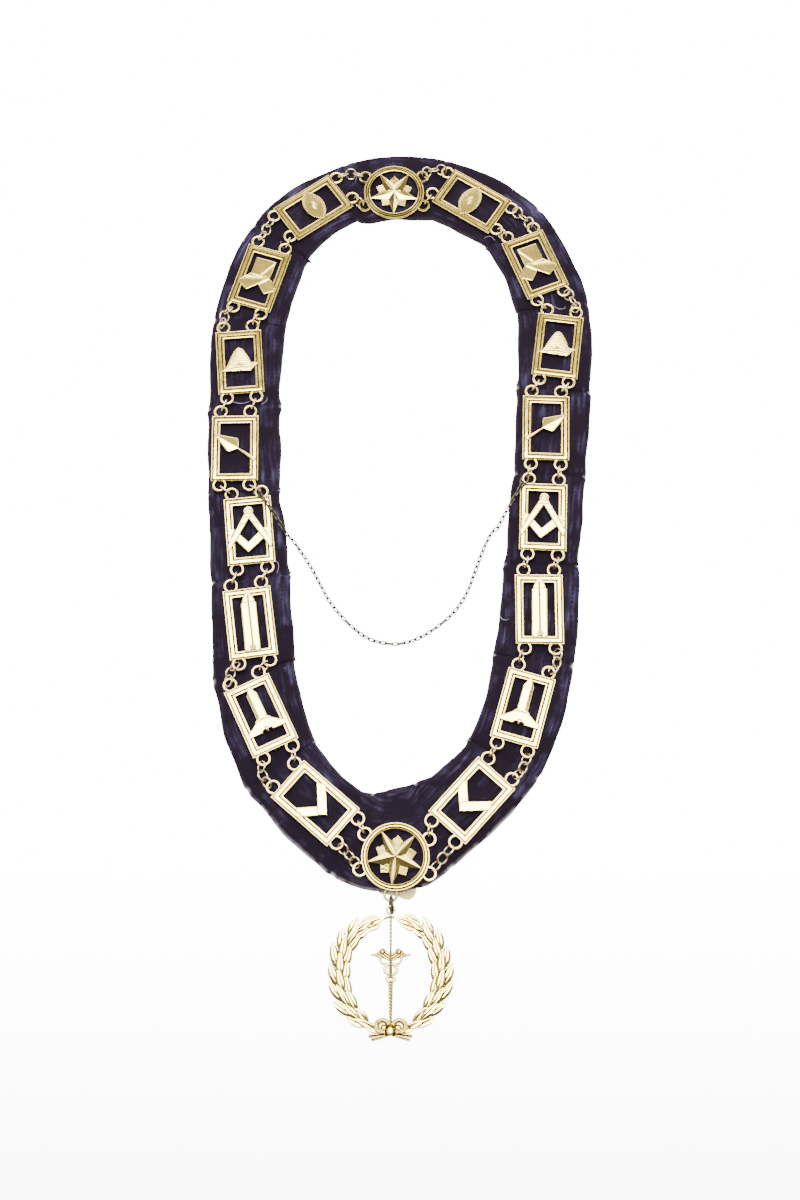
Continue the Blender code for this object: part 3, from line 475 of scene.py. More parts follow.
@dataclass(frozen=True)
class CrushedVelvet(Finish):
    """Dark velvet with streaks of painted sheen and worn backing at nicked edges."""

    dark: Colour
    light: Colour
    backing: Colour

    def dress(self, nodes: Nodes) -> None:
        """Painted sheen in streaks along the band and across it, blotches, sheen and a fine nap.

        Args:
            nodes: The material's tree.
        """
        band = nodes.add("ShaderNodeUVMap", uv_map="band").outputs[0]
        streaked = nodes.noise(nodes.stretched(band, (30.0, 560.0, 1.0)), 1.0, 6.0)
        crossed = nodes.noise(nodes.stretched(band, (760.0, 170.0, 1.0)), 1.0, 4.0)
        blotches = nodes.noise(nodes.places(), 160.0, 4.0)
        patches = nodes.noise(nodes.places((1.0, 1.0, 3.0)), 65.0, 3.0)
        pile = nodes.noise(nodes.places(), 3500.0, 2.0)
        streaks = nodes.ramp(streaked, 0.43, 0.72)
        streaks = nodes.math("MULTIPLY", streaks, nodes.ramp(patches, 0.44, 0.66))
        brushed = nodes.ramp(crossed, 0.46, 0.74, 0.0, 0.55)
        brushed = nodes.math("MULTIPLY", brushed, nodes.ramp(patches, 0.50, 0.64))
        laid = nodes.math("MAXIMUM", streaks, brushed)
        # Painted highlight: pile gathers the painted sheen onto the folds beside the edges and the
        # crush ridges.
        crushed = nodes.ramp(nodes.attribute("pile"), 0.0, 1.0, 0.10, 1.0)
        laid = nodes.math("MULTIPLY", laid, crushed)
        laid = nodes.math("MULTIPLY", laid, nodes.ramp(pile, 0.3, 0.65, 0.35, 1.25))
        cloth = nodes.mix(nodes.ramp(laid, 0.0, 1.0), self.dark, self.light)
        worn = nodes.math("MULTIPLY", nodes.attribute("worn"), nodes.ramp(blotches, 0.38, 0.55))
        folded = nodes.bump(blotches, 0.25 * MM, 0.5)
        nodes.surface(
            Base_Color=nodes.mix(worn, cloth, self.backing),
            Normal=nodes.bump(pile, 0.12 * MM, 0.7, folded),
            Roughness=0.9,
            Specular_IOR_Level=0.0,
            Sheen_Weight=0.035,
            Sheen_Roughness=0.3,
            Sheen_Tint=(0.42, 0.34, 0.72, 1.0),
        )


@dataclass(frozen=True)
class Cotton(Finish):
    """Plain woven cloth: two crossed waves of thread and a little soiling."""

    clean: Colour
    soiled: Colour

    def dress(self, nodes: Nodes) -> None:
        """Threads as bump and stains as colour.

        Args:
            nodes: The material's tree.
        """
        places = nodes.places()
        across, along = (
            nodes.add("ShaderNodeTexWave", Vector=places, Scale=700.0, Distortion=1.5,
                      bands_direction=way).outputs[1]
            for way in ("X", "Y")
        )
        stains = nodes.ramp(nodes.noise(places, 120.0), 0.4, 0.65)
        nodes.surface(
            Base_Color=nodes.mix(stains, self.clean, self.soiled),
            Normal=nodes.bump(nodes.math("MAXIMUM", across, along), 0.1 * MM, 0.8),
            Roughness=0.9,
            Sheen_Weight=0.2,
        )


@dataclass(frozen=True)
class Strand(Finish):
    """Dull loose thread of one colour, lighter in places."""

    colour: Colour

    def dress(self, nodes: Nodes) -> None:
        """Colour by soft noise.

        Args:
            nodes: The material's tree.
        """
        pale = tuple(min(1.0, 1.6 * part) for part in self.colour)
        patches = nodes.ramp(nodes.noise(nodes.places(), 300.0), 0.4, 0.6)
        nodes.surface(Base_Color=nodes.mix(patches, self.colour, pale), Roughness=0.8)


@dataclass(frozen=True)
class Paper(Finish):
    """The pale floor, greyer towards the viewer by painted shade, whose glow lights nothing else.
    """

    near: Colour
    far: Colour
    glow: float

    def dress(self, nodes: Nodes) -> None:
        """A gradient of painted shade along Y, which glows where the camera sees it.

        Args:
            nodes: The material's tree.
        """
        away = nodes.add("ShaderNodeSeparateXYZ", Vector=nodes.places()).outputs[1]
        shade = nodes.mix(nodes.ramp(away, -0.45, -0.15), self.near, self.far)
        seen = nodes.add("ShaderNodeLightPath").outputs["Is Camera Ray"]
        nodes.surface(
            Base_Color=shade,
            Emission_Color=shade,
            Emission_Strength=nodes.math("MULTIPLY", seen, self.glow),
            Roughness=0.9,
            Specular_IOR_Level=0.0,
        )


# tarnish_and_shade is the colour of patina and of painted shade in the hollows.
GILT = Gilding(
    "gilt", "gilt_brass", bright=(0.95, 0.73, 0.19), deep=(0.80, 0.60, 0.14),
    tarnish_and_shade=(0.032, 0.029, 0.015), polish=0.14)
LINK_METAL = Gilding(
    "worn_gilt_wire", "link_brass", bright=(0.84, 0.69, 0.33), deep=(0.52, 0.42, 0.19),
    tarnish_and_shade=(0.030, 0.021, 0.008), polish=0.15)
CHAIN_METAL = Gilding(
    "dull_chain_wire", "link_brass", bright=(0.125, 0.110, 0.070), deep=(0.072, 0.062, 0.036),
    tarnish_and_shade=(0.010, 0.008, 0.004), polish=0.22)
# The velvet's light colour is its painted sheen.
VELVET = CrushedVelvet(
    "crushed_velvet", "velvet", dark=(0.0074, 0.0048, 0.0085), light=(0.132, 0.110, 0.240),
    backing=(0.55, 0.46, 0.50))
LINING = Cotton(
    "cotton_lining", "lining_cloth", clean=(0.66, 0.54, 0.27), soiled=(0.38, 0.30, 0.14))
THREAD = Strand("loose_thread", "velvet", (0.20, 0.16, 0.26))
# near is the floor's painted shade towards the viewer, and glow its painted light.
FLOOR = Paper("pale_floor", "floor", (0.31, 0.31, 0.315), (0.95, 0.95, 0.95), 14.0)


# --- where things lie


class Side(Enum):
    """The two sides of the collar."""

    LEFT = -1
    RIGHT = 1


class Row(Enum):
    """The strand of rings beside the neck and the one at the collar's outer edge."""

    INNER = 1
    OUTER = -1


class Emblem(Enum):
    """What a plaque frames."""

    EYE = "eye"
    EUCLID = "euclid"
    BEEHIVE = "beehive"
    TROWEL = "trowel"
    COMPASSES = "compasses"
    GAUGE = "gauge"
    GAVEL = "gavel"
    SQUARE = "square"


def middle_of(node: str) -> Array:
    """The middle of a node's box in plan."""
    low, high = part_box(node)
    return (np.array(low)[:2] + np.array(high)[:2]) / 2.0 / MM


@dataclass(frozen=True)
class Seat:
    """Where a plaque lies; heading is its turn from straight down, positive to the right."""

    emblem: Emblem
    side: Side
    heading: float

    @property
    def node(self) -> str:
        """The plaque's node."""
        return f"plaque_{self.emblem.value}_{self.side.name.lower()}"

    def place(self, local: Array) -> Array:
        """Move and turn places to where the plaque lies.

        Args:
            local: Places from the plaque's middle, with y towards its upper end.

        Returns:
            Places in the collar's frame.
        """
        aside = turned(self.heading)
        middle = middle_of(self.node)
        x = middle[0] + local[..., 0] * aside[0] - local[..., 1] * aside[1]
        y = middle[1] + local[..., 0] * aside[1] + local[..., 1] * aside[0]
        return np.stack((x, y, local[..., 2]), axis=-1)

    def eyelet(self, row: Row, end: float) -> Array:
        """The middle of one eyelet, at the upper end for 1 and the lower for -1."""
        aside = EYELET_ASIDE * row.value * -self.side.value
        return self.place(np.array((aside, end * EYELET_BEYOND, EYELET_Z)))


HEADINGS = {
    Side.LEFT: (-54.6, -17.2, 4.5, 1.0, 5.6, 7.7, 25.2, 49.0),
    Side.RIGHT: (57.1, 21.8, -7.4, -2.0, -2.5, -0.5, -16.0, -42.3),
}
SEATS = {
    side: [Seat(emblem, side, heading) for emblem, heading in zip(Emblem, headings)]
    for side, headings in HEADINGS.items()
}


def wires(centres: Array, along: Array, rise: Array, half_length: float, half_width: float,
          wire: float, steps: int, sides: int, start: float = 0.0, sweep: float = 360.0) -> Array:
    """Round wires bent to ovals.

    A wire's middle is centre + along * a * cos(t) + rise * b * sin(t), with a circle around it.

    Args:
        centres: Middles, of shape (copies, 3).
        along: Unit vectors of the ovals' long axes.
        rise: Unit vectors of their short axes.
        half_length: Reach of the wire's middle along the long axis.
        half_width: Reach of the wire's middle along the short axis.
        wire: The wire's diameter.
        steps: Places around the oval.
        sides: Places around the wire.
        start: Turn of the first place, from the long axis.
        sweep: How far the oval is bent, 360 for a closed one.

    Returns:
        Places of shape (copies, steps, sides, 3).
    """
    turn = np.radians(start + sweep * np.arange(steps) / (steps if sweep >= 360.0 else steps - 1))
    spin = 2.0 * np.pi * np.arange(sides) / sides
    a, b, r = half_length, half_width, wire / 2.0
    t, s = turn[None, :, None], spin[None, None, :]
    outward = np.hypot(b * np.cos(t), a * np.sin(t))
    x = a * np.cos(t) + r * np.cos(s) * b * np.cos(t) / outward
    y = b * np.sin(t) + r * np.cos(s) * a * np.sin(t) / outward
    z = r * np.sin(s) + 0.0 * t
    axis = np.cross(along, rise)
    terms = ((x, along), (y, rise), (z, axis))
    parts = [part[..., None] * vector[:, None, None, :] for part, vector in terms]
    return centres[:, None, None, :] + sum(parts)


def soldered(centres: Array, out: Array, sweep: float) -> Array:
    """Wire eyelets that stand out from an edge, each bent open towards it.

    Args:
        centres: Their middles, of shape (copies, 3).
        out: Unit vectors away from the edge.
        sweep: How far the wire is bent from one end to the other.

    Returns:
        Places of shape (copies, steps, sides, 3).
    """
    rise = np.cross(UP, out)
    radius = EYELET_RADIUS
    return wires(centres, out, rise, radius, radius, EYELET_WIRE, 26, 10, -sweep / 2.0, sweep)


def tube(path: Array, radius: Array | float, sides: int) -> Array:
    """A wire along an open path: each place plus radius * (beside * cos + above * sin).

    Args:
        path: Places of shape (steps, 3), nowhere going straight up.
        radius: The wire's radius, one for each place or for all.
        sides: Places around it.

    Returns:
        Places of shape (steps, sides, 3).
    """
    ahead = np.roll(path, -1, axis=0) - np.roll(path, 1, axis=0)
    ahead[0], ahead[-1] = path[1] - path[0], path[-1] - path[-2]
    ahead /= np.linalg.norm(ahead, axis=1, keepdims=True)
    beside = np.cross(ahead, UP)
    beside /= np.linalg.norm(beside, axis=1, keepdims=True)
    above = np.cross(beside, ahead)
    spin = 2.0 * np.pi * np.arange(sides) / sides
    reach = np.broadcast_to(radius, len(path))[:, None, None]
    across = np.cos(spin)[None, :, None] * beside[:, None, :]
    upward = np.sin(spin)[None, :, None] * above[:, None, :]
    return path[:, None, :] + reach * (across + upward)


def curve_through(points: Array, steps: int, closed: bool = False) -> Array:
    """A smooth curve through a few places.

    Each stretch is the cubic whose slopes are half the step between the neighbours on both sides.

    Args:
        points: Places or any columns of numbers, of shape (count, columns).
        steps: Places on each stretch.
        closed: Whether the curve returns to its start.

    Returns:
        The curve's places.
    """
    if closed:
        before, here, after, beyond = (np.roll(points, shift, axis=0) for shift in (1, 0, -1, -2))
    else:
        first, last = 2 * points[:1] - points[1:2], 2 * points[-1:] - points[-2:-1]
        padded = np.concatenate((first, points, last))
        before, here, after, beyond = padded[:-3], padded[1:-2], padded[2:-1], padded[3:]
    t = (np.arange(steps) / steps)[None, :, None]
    b, h, a, n = (part[:, None, :] for part in (before, here, after, beyond))
    squared, cubed = 2 * b - 5 * h + 4 * a - n, 3 * h - b - 3 * a + n
    curve = 0.5 * (2 * h + (a - b) * t + squared * t**2 + cubed * t**3)
    curve = curve.reshape(-1, points.shape[1])
    return curve if closed else np.concatenate((curve, points[-1:]))


def distances_along(path: Array) -> Array:
    """How far each of a path's places is from its start, measured along it."""
    steps = np.linalg.norm(np.diff(path, axis=0), axis=1)
    return np.concatenate(([0.0], np.cumsum(steps)))


def sampled(path: Array, travelled: Array, spots: Array) -> Array:
    """The path's columns at given distances along it, with straight steps between its places."""
    return np.stack([np.interp(spots, travelled, column) for column in path.T], axis=-1)


# --- struck relief


@dataclass(frozen=True)
class Relief:
    """A struck form over flat places, which are arrays of shape (..., 2).

    Its distance is negative inside its outline, in millimetres.
    """

    distance: Array
    height: Array

    def joined(self, other: "Relief") -> "Relief":
        """Both forms together, the higher one showing where they overlap.

        Args:
            other: The other form, over the same places.

        Returns:
            The joined form, whose height outside both is that of the nearer one.
        """
        first, second = self.distance < 0, other.distance < 0
        nearer = np.where(self.distance < other.distance, self.height, other.height)
        both = np.where(first & second, np.maximum(self.height, other.height), nearer)
        second_alone = np.where(second & ~first, other.height, both)
        height = np.where(first & ~second, self.height, second_alone)
        return Relief(np.minimum(self.distance, other.distance), height)


def polygon(places: Array, corners: tuple[Point, ...]) -> Array:
    """Signed distance to a polygon: the least distance to its sides, negative inside.

    Args:
        places: Flat places, of shape (..., 2).
        corners: The polygon's corners.

    Returns:
        One distance for each place.
    """
    ends = np.array(corners, dtype=float)
    least = np.full(places.shape[:-1], np.inf)
    inside = np.zeros(places.shape[:-1], dtype=bool)
    for a, b in zip(ends, np.roll(ends, -1, axis=0)):
        side, reach = b - a, places - a
        share = np.clip((reach @ side) / (side @ side), 0.0, 1.0)
        least = np.minimum(least, np.linalg.norm(reach - share[..., None] * side, axis=-1))
        crosses = (a[1] > places[..., 1]) != (b[1] > places[..., 1])
        slope = side[0] / side[1] if side[1] else 0.0
        inside ^= crosses & (places[..., 0] < a[0] + slope * (places[..., 1] - a[1]))
    return np.where(inside, -least, least)


def stroke(places: Array, start: Point, end: Point, near: float, far: float) -> Array:
    """Signed distance to a round-ended bar: distance to its middle line less its half breadth.

    Args:
        places: Flat places, of shape (..., 2).
        start: Where the bar starts.
        end: Where it ends.
        near: Its half breadth at the start.
        far: Its half breadth at the end.

    Returns:
        One distance for each place.
    """
    a, side = np.array(start), np.array(end) - np.array(start)
    reach = places - a
    share = np.clip((reach @ side) / (side @ side), 0.0, 1.0)
    return np.linalg.norm(reach - share[..., None] * side, axis=-1) - (near + (far - near) * share)


def disc(places: Array, middle: Point, radius: float) -> Array:
    """Signed distance to a circle."""
    return np.linalg.norm(places - np.array(middle), axis=-1) - radius


def bevel(distance: Array, breadth: float, drop: float) -> Array:
    """How far a face falls towards its outline: a quarter round of the given breadth and drop."""
    share = np.clip(1.0 + distance / breadth, 0.0, 1.0)
    return -drop * (1.0 - np.sqrt(np.clip(1.0 - share**2, 0.0, 1.0)))


def ridge(distance: Array, half_breadth: float, rise: float) -> Array:
    """A raised line around the places where a distance is nought."""
    return rise * np.clip(1.0 - np.abs(distance) / half_breadth, 0.0, 1.0)


def waves(value: Array, pitch: float, depth: float) -> Array:
    """Grooves across a value: depth times the size of its sine."""
    return -depth * (1.0 - np.abs(np.sin(np.pi * value / pitch)))


def struck(art: Callable[[Array], Relief], low: Point, high: Point, cell: float, under: float,
           shade: int = 2) -> tuple[Array, Array, Array]:
    """A pierced plate: the cells inside the outline, with their rim moved onto it.

    The grid's points that lie between a kept cell and a dropped one slide down the slope of the
    distance until it is nought. The top takes the relief's height, the back is flat and a wall
    joins them along the rim.

    Args:
        art: Gives the relief at flat places.
        low: The grid's lower corner.
        high: Its upper corner.
        cell: Its pitch.
        under: Height of the back.
        shade: How many cells wide the painted shade beside a crest is.

    Returns:
        Places, quads and how recessed each place is, which paints shade beside crests and along the
        rim.
    """
    x = np.arange(low[0], high[0] + cell, cell)
    y = np.arange(low[1], high[1] + cell, cell)
    flat = np.stack(np.meshgrid(x, y), axis=-1)
    distance = art(flat).distance
    kept = (distance[:-1, :-1] + distance[1:, :-1] + distance[:-1, 1:] + distance[1:, 1:]) < 0.0
    kept[[0, -1], :] = False
    kept[:, [0, -1]] = False
    used = np.zeros(flat.shape[:2], dtype=int)
    for rows in (slice(0, -1), slice(1, None)):
        for columns in (slice(0, -1), slice(1, None)):
            used[rows, columns] += kept
    rim = (used > 0) & (used < 4)
    sliding = flat[rim]
    step = 0.25 * cell
    for _ in range(4):
        here = art(sliding).distance
        slope = np.stack([
            (art(sliding + shift).distance - art(sliding - shift).distance) / (2.0 * step)
            for shift in (np.array((step, 0.0)), np.array((0.0, step)))
        ], axis=-1)
        size = np.maximum((slope**2).sum(axis=-1), 0.25)
        move = -(here / size)[:, None] * slope
        sliding = sliding + np.clip(move, -cell, cell)
    sliding = flat[rim] + np.clip(sliding - flat[rim], -0.8 * cell, 0.8 * cell)
    flat[rim] = sliding
    relief = art(flat)
    number = np.cumsum((used > 0).reshape(-1)).reshape(used.shape) - 1
    total = int(number.max()) + 1
    shown = used > 0
    top = np.concatenate((flat[shown], relief.height[shown][:, None]), axis=1)
    back = top.copy()
    back[:, 2] = under
    row, column = np.nonzero(kept)
    corners = [number[row + i, column + j] for i, j in ((0, 0), (0, 1), (1, 1), (1, 0))]
    face = np.stack(corners, axis=-1)
    quads = [face, face[:, ::-1] + total]
    sides = ((-1, 0, 0, 1), (0, 1, 1, 2), (1, 0, 2, 3), (0, -1, 3, 0))
    for down, across, first, second in sides:
        open_side = ~kept[row + down, column + across]
        a, b = corners[first][open_side], corners[second][open_side]
        quads.append(np.stack((b, a, a + total, b + total), axis=-1))
    # Painted shade: places below their neighbours, a band along the outline and the back are
    # recessed, so they darken.
    shifts = (-shade, 0, shade)
    around = sum(np.roll(relief.height, (i, j), (0, 1)) for i in shifts for j in shifts) / 9.0
    hollow = np.clip((around - relief.height)[shown] / 0.09, 0.0, 1.0)
    hollow *= relief.distance[shown] < -2.5 * cell
    edge = np.clip(1.0 + relief.distance[shown] / 0.35, 0.0, 1.0)
    recess = np.concatenate((np.maximum(0.7 * edge, hollow), np.full(len(hollow), 0.9)))
    return np.concatenate((top, back)), np.concatenate(quads), recess


@dataclass(frozen=True)
class EmblemArt:
    """The eight emblems as reliefs over a plaque's opening, heights above its underside.

    face is the height of an emblem inside its frame and overlay of one that reaches over it.
    """

    face: float = 2.9
    overlay: float = 3.4

    def art(self, emblem: Emblem) -> Callable[[Array], Relief]:
        """The relief of one emblem."""
        return getattr(self, emblem.value)

    def eye(self, places: Array) -> Relief:
        """A pointed oval where two circles cross, rayed at its rim, with a lidded eye on it.

        Args:
            places: Flat places.

        Returns:
            The relief.
        """
        p = places - np.array((-0.6, 0.9))
        half_length, half_height = 11.6, 6.7
        radius = (half_length**2 + half_height**2) / (2 * half_height)
        offset = radius - half_height
        distance = np.maximum(disc(p, (0.0, -offset), radius), disc(p, (0.0, offset), radius))
        arc = radius * np.arctan2(p[..., 0], np.abs(p[..., 1]) + offset)
        rays = 0.5 + 0.5 * np.cos(2.0 * np.pi * arc / 1.5)
        outer = smooth_step(distance, -3.0, -1.2)
        lids = np.maximum(disc(p, (0.0, -2.2), 3.3), disc(p, (0.0, 2.2), 3.3))
        height = self.overlay - 0.1 + bevel(distance, 0.4, 0.25) - 0.05 * outer * (1.0 - rays)
        pupil = 0.15 * smooth_step(-disc(p, (0.0, 0.0), 0.6), 0.0, 0.3)
        height = height + ridge(lids, 0.40, 0.12) + pupil
        return Relief(distance + 0.75 * (1.0 - rays) * smooth_step(distance, -1.5, 0.0), height)

    def euclid(self, places: Array) -> Relief:
        """Three squares about a triangle, with raised sides.

        Args:
            places: Flat places.

        Returns:
            The relief.
        """
        upper = polygon(places, ((-6.3, 13.6), (6.8, 13.6), (6.5, 1.5), (-6.3, 1.5)))
        left = polygon(places, (
            (-11.9, -3.7), (-9.2, -1.4), (-6.3, 1.5), (6.4, 1.6), (0.7, -4.8), (-5.2, -10.4),
            (-11.9, -6.3)))
        right = polygon(places, ((6.4, 1.6), (12.0, -4.2), (12.0, -6.7), (6.4, -10.3), (0.7, -4.8)))
        whole = Relief(upper, self.face - 0.15 + bevel(upper, 0.45, 0.35))
        whole = whole.joined(Relief(left, self.face + 0.3 + bevel(left, 0.45, 0.35)))
        whole = whole.joined(Relief(right, self.face + 0.12 + bevel(right, 0.45, 0.35)))
        lines = (
            ((6.5, 12.6), (0.2, 1.8), 0.30), ((-6.2, 1.7), (6.4, 1.6), 0.45),
            ((6.2, 1.4), (-11.6, -3.7), 0.45), ((6.2, 1.2), (0.7, -4.6), 0.35),
            ((-9.4, -1.6), (5.0, 1.2), 0.25), ((11.8, -4.4), (6.6, 1.2), 0.25),
        )
        height = whole.height
        for start, end, rise in lines:
            height = height + ridge(stroke(places, start, end, 0.0, 0.0), 0.5, rise)
        return Relief(whole.distance, height + 0.012 * ripple(places, 1.6, 11, 1))

    def beehive(self, places: Array) -> Relief:
        """A domed skep of coiled straw, with a small door, on a plank.

        Args:
            places: Flat places.

        Returns:
            The relief.
        """
        dome = polygon(places, (
            (-10.0, -5.6), (-8.0, -2.0), (-6.8, 1.0), (-5.6, 3.6), (-4.2, 6.3), (-2.6, 8.7),
            (-1.2, 9.9), (-0.2, 10.2), (0.9, 9.8), (2.4, 8.3), (4.0, 5.8), (5.4, 3.2), (6.4, 0.6),
            (7.2, -1.6), (6.8, -5.6)))
        x, y = places[..., 0], places[..., 1]
        coils = 0.13 * np.cos(2.0 * np.pi * (y + 0.018 * x**2) / 1.5)
        coils = coils + 0.07 * ripple(places, 1.1, 31, 1)
        high = self.face - 0.5 + 1.25 * np.sqrt(np.clip(-dome / 5.6, 0.0, 1.0)) + coils
        door = smooth_step(-np.abs(disc(places, (-0.1, -2.6), 0.9)) + 0.35, 0.0, 0.3) * (y > -2.9)
        hive = Relief(dome, high - 0.35 * door)
        plank = polygon(places, (
            (-11.2, -5.0), (-9.0, -4.0), (5.8, -4.4), (6.6, -0.6), (8.0, -0.5), (11.2, -0.9),
            (11.0, -1.9), (8.9, -3.2), (6.5, -6.4), (-11.0, -5.8)))
        grain = waves(y + 0.2 * x, 0.9, 0.05)
        return hive.joined(Relief(plank, self.face - 0.05 + bevel(plank, 0.5, 0.3) + grain))

    def trowel(self, places: Array) -> Relief:
        """A pointed blade with a central ridge, a bent neck and a turned handle.

        Args:
            places: Flat places.

        Returns:
            The relief.
        """
        blade = polygon(places, (
            (-12.7, 9.3), (1.3, 6.4), (2.1, 5.7), (2.3, -0.4), (1.6, -0.9), (-3.4, -2.5),
            (-4.6, -2.2), (-9.4, 4.2)))
        spine = stroke(places, (-12.0, 8.2), (1.8, -0.2), 0.0, 0.0)
        slope = 0.13 * np.minimum(spine, 4.5)
        whole = Relief(blade, self.overlay + 0.25 - slope + bevel(blade, 0.35, 0.25))
        neck = stroke(places, (1.4, -0.2), (4.4, -2.2), 0.65, 0.55)
        handle = stroke(places, (4.0, -1.9), (11.6, -7.5), 0.7, 1.15)
        butt = stroke(places, (11.0, -8.3), (12.0, -6.9), 0.5, 0.5)
        for bar, top in ((neck, 0.2), (handle, 0.45), (butt, 0.5)):
            whole = whole.joined(Relief(bar, self.overlay + top + bevel(bar, 1.0, 0.7)))
        return whole

    def compasses(self, places: Array) -> Relief:
        """Open compasses laid over a square, both reaching over the frame.

        Args:
            places: Flat places.

        Returns:
            The relief.
        """
        square = polygon(places, (
            (-13.7, -1.0), (-11.0, 1.9), (-9.2, 1.6), (-1.0, -7.5), (8.2, 0.9), (11.2, 1.4),
            (13.7, -0.9), (10.4, -4.1), (-1.4, -14.1), (-10.1, -3.8)))
        legs = polygon(places, (
            (-2.6, 10.4), (-13.9, -9.0), (-13.2, -12.9), (-12.0, -11.8), (0.2, 7.2), (11.3, -11.4),
            (12.4, -12.4), (13.5, -8.4), (2.9, 10.4)))
        whole = Relief(square, self.overlay + bevel(square, 0.5, 0.35))
        worn = ridge(np.abs(places[..., 1] - 6.4) - 1.9, 0.45, -0.22)
        whole = whole.joined(Relief(legs, self.overlay + 0.5 + bevel(legs, 0.8, 0.45) + worn))
        hinge = (0.3, 12.1)
        knob = disc(places, hinge, 2.95)
        rivet = 0.25 * smooth_step(-disc(places, hinge, 0.8), 0.0, 0.3)
        rings = ridge(knob + 1.0, 0.4, -0.3) + rivet
        return whole.joined(Relief(knob, self.overlay + 0.75 + bevel(knob, 1.4, 0.7) + rings))

    def gauge(self, places: Array) -> Relief:
        """A tall slab with a pointed arch, a crease down its middle and a loop at its foot.

        Args:
            places: Flat places.

        Returns:
            The relief.
        """
        slab = polygon(places, (
            (-4.8, -18.1), (4.5, -18.1), (4.8, 12.1), (4.2, 12.5), (3.9, 13.9), (3.2, 15.8),
            (2.2, 17.7), (1.1, 18.9), (0.2, 19.3), (-0.8, 18.8), (-1.8, 17.5), (-2.8, 15.6),
            (-3.5, 13.8), (-3.7, 12.5), (-4.3, 12.1)))
        x, y = places[..., 0], places[..., 1]
        crease = ridge(x - 0.2, 0.55, -0.30) * smooth_step(y, -14.4, -13.6)
        crease = crease * smooth_step(-y, -18.5, -16.0)
        loop = ridge(disc(places, (0.2, -15.4), 1.15), 0.5, 0.45)
        feet = 0.35 * smooth_step(np.abs(np.sin(x * 1.35)), 0.4, 0.9) * smooth_step(-y, 16.6, 17.2)
        arch = 0.25 * smooth_step(-y, -12.8, -12.2)
        top = self.overlay + 0.2 + arch + bevel(slab, 0.9, 0.5)
        return Relief(slab, top + crease + loop - feet)

    def gavel(self, places: Array) -> Relief:
        """A pointed stonemason's handle that flares into a broad head.

        Args:
            places: Flat places.

        Returns:
            The relief.
        """
        left = (
            (-1.2, 17.2), (-2.4, 14.6), (-3.2, 13.5), (-3.3, -1.7), (-4.3, -2.1), (-5.1, -3.6),
            (-9.4, -6.7), (-11.9, -7.9), (-11.6, -10.5), (-3.1, -10.4), (-2.6, -9.0),
            (-0.9, -9.0), (-0.6, -10.4))
        right = tuple((-x, y) for x, y in reversed(left))
        outline = polygon(places, ((0.0, 19.2), *left, *right))
        x, y = places[..., 0], places[..., 1]
        facets = -0.16 * np.clip(np.abs(x) - 1.1, 0.0, 2.2) * smooth_step(y, -3.0, -1.0)
        collar = ridge(y + 2.6 + 0.12 * np.abs(x), 0.5, -0.25)
        knob = 0.5 * smooth_step(-disc(places, (0.0, -8.6), 1.3), 0.0, 0.8)
        top = self.overlay + 0.25 + bevel(outline, 0.7, 0.45)
        return Relief(outline, top + facets + collar + knob)

    def square(self, places: Array) -> Relief:
        """A try square: one arm set a little above the other.

        Args:
            places: Flat places.

        Returns:
            The relief.
        """
        whole = polygon(places, (
            (-0.8, -2.2), (-9.3, 6.3), (-13.4, 3.0), (-12.9, 2.0), (-0.8, -9.8), (11.9, 2.7),
            (8.8, 6.9)))
        arm = polygon(places, ((-0.9, -2.1), (-4.2, -6.0), (-0.8, -9.8), (11.9, 2.7), (8.8, 6.9)))
        step = 0.28 * smooth_step(-arm, -0.05, 0.2)
        ends = ridge(np.abs(places[..., 0] - 0.3) - 10.9, 0.4, -0.2)
        return Relief(whole, self.overlay + bevel(whole, 0.45, 0.3) + step + ends)


# --- the metal pieces


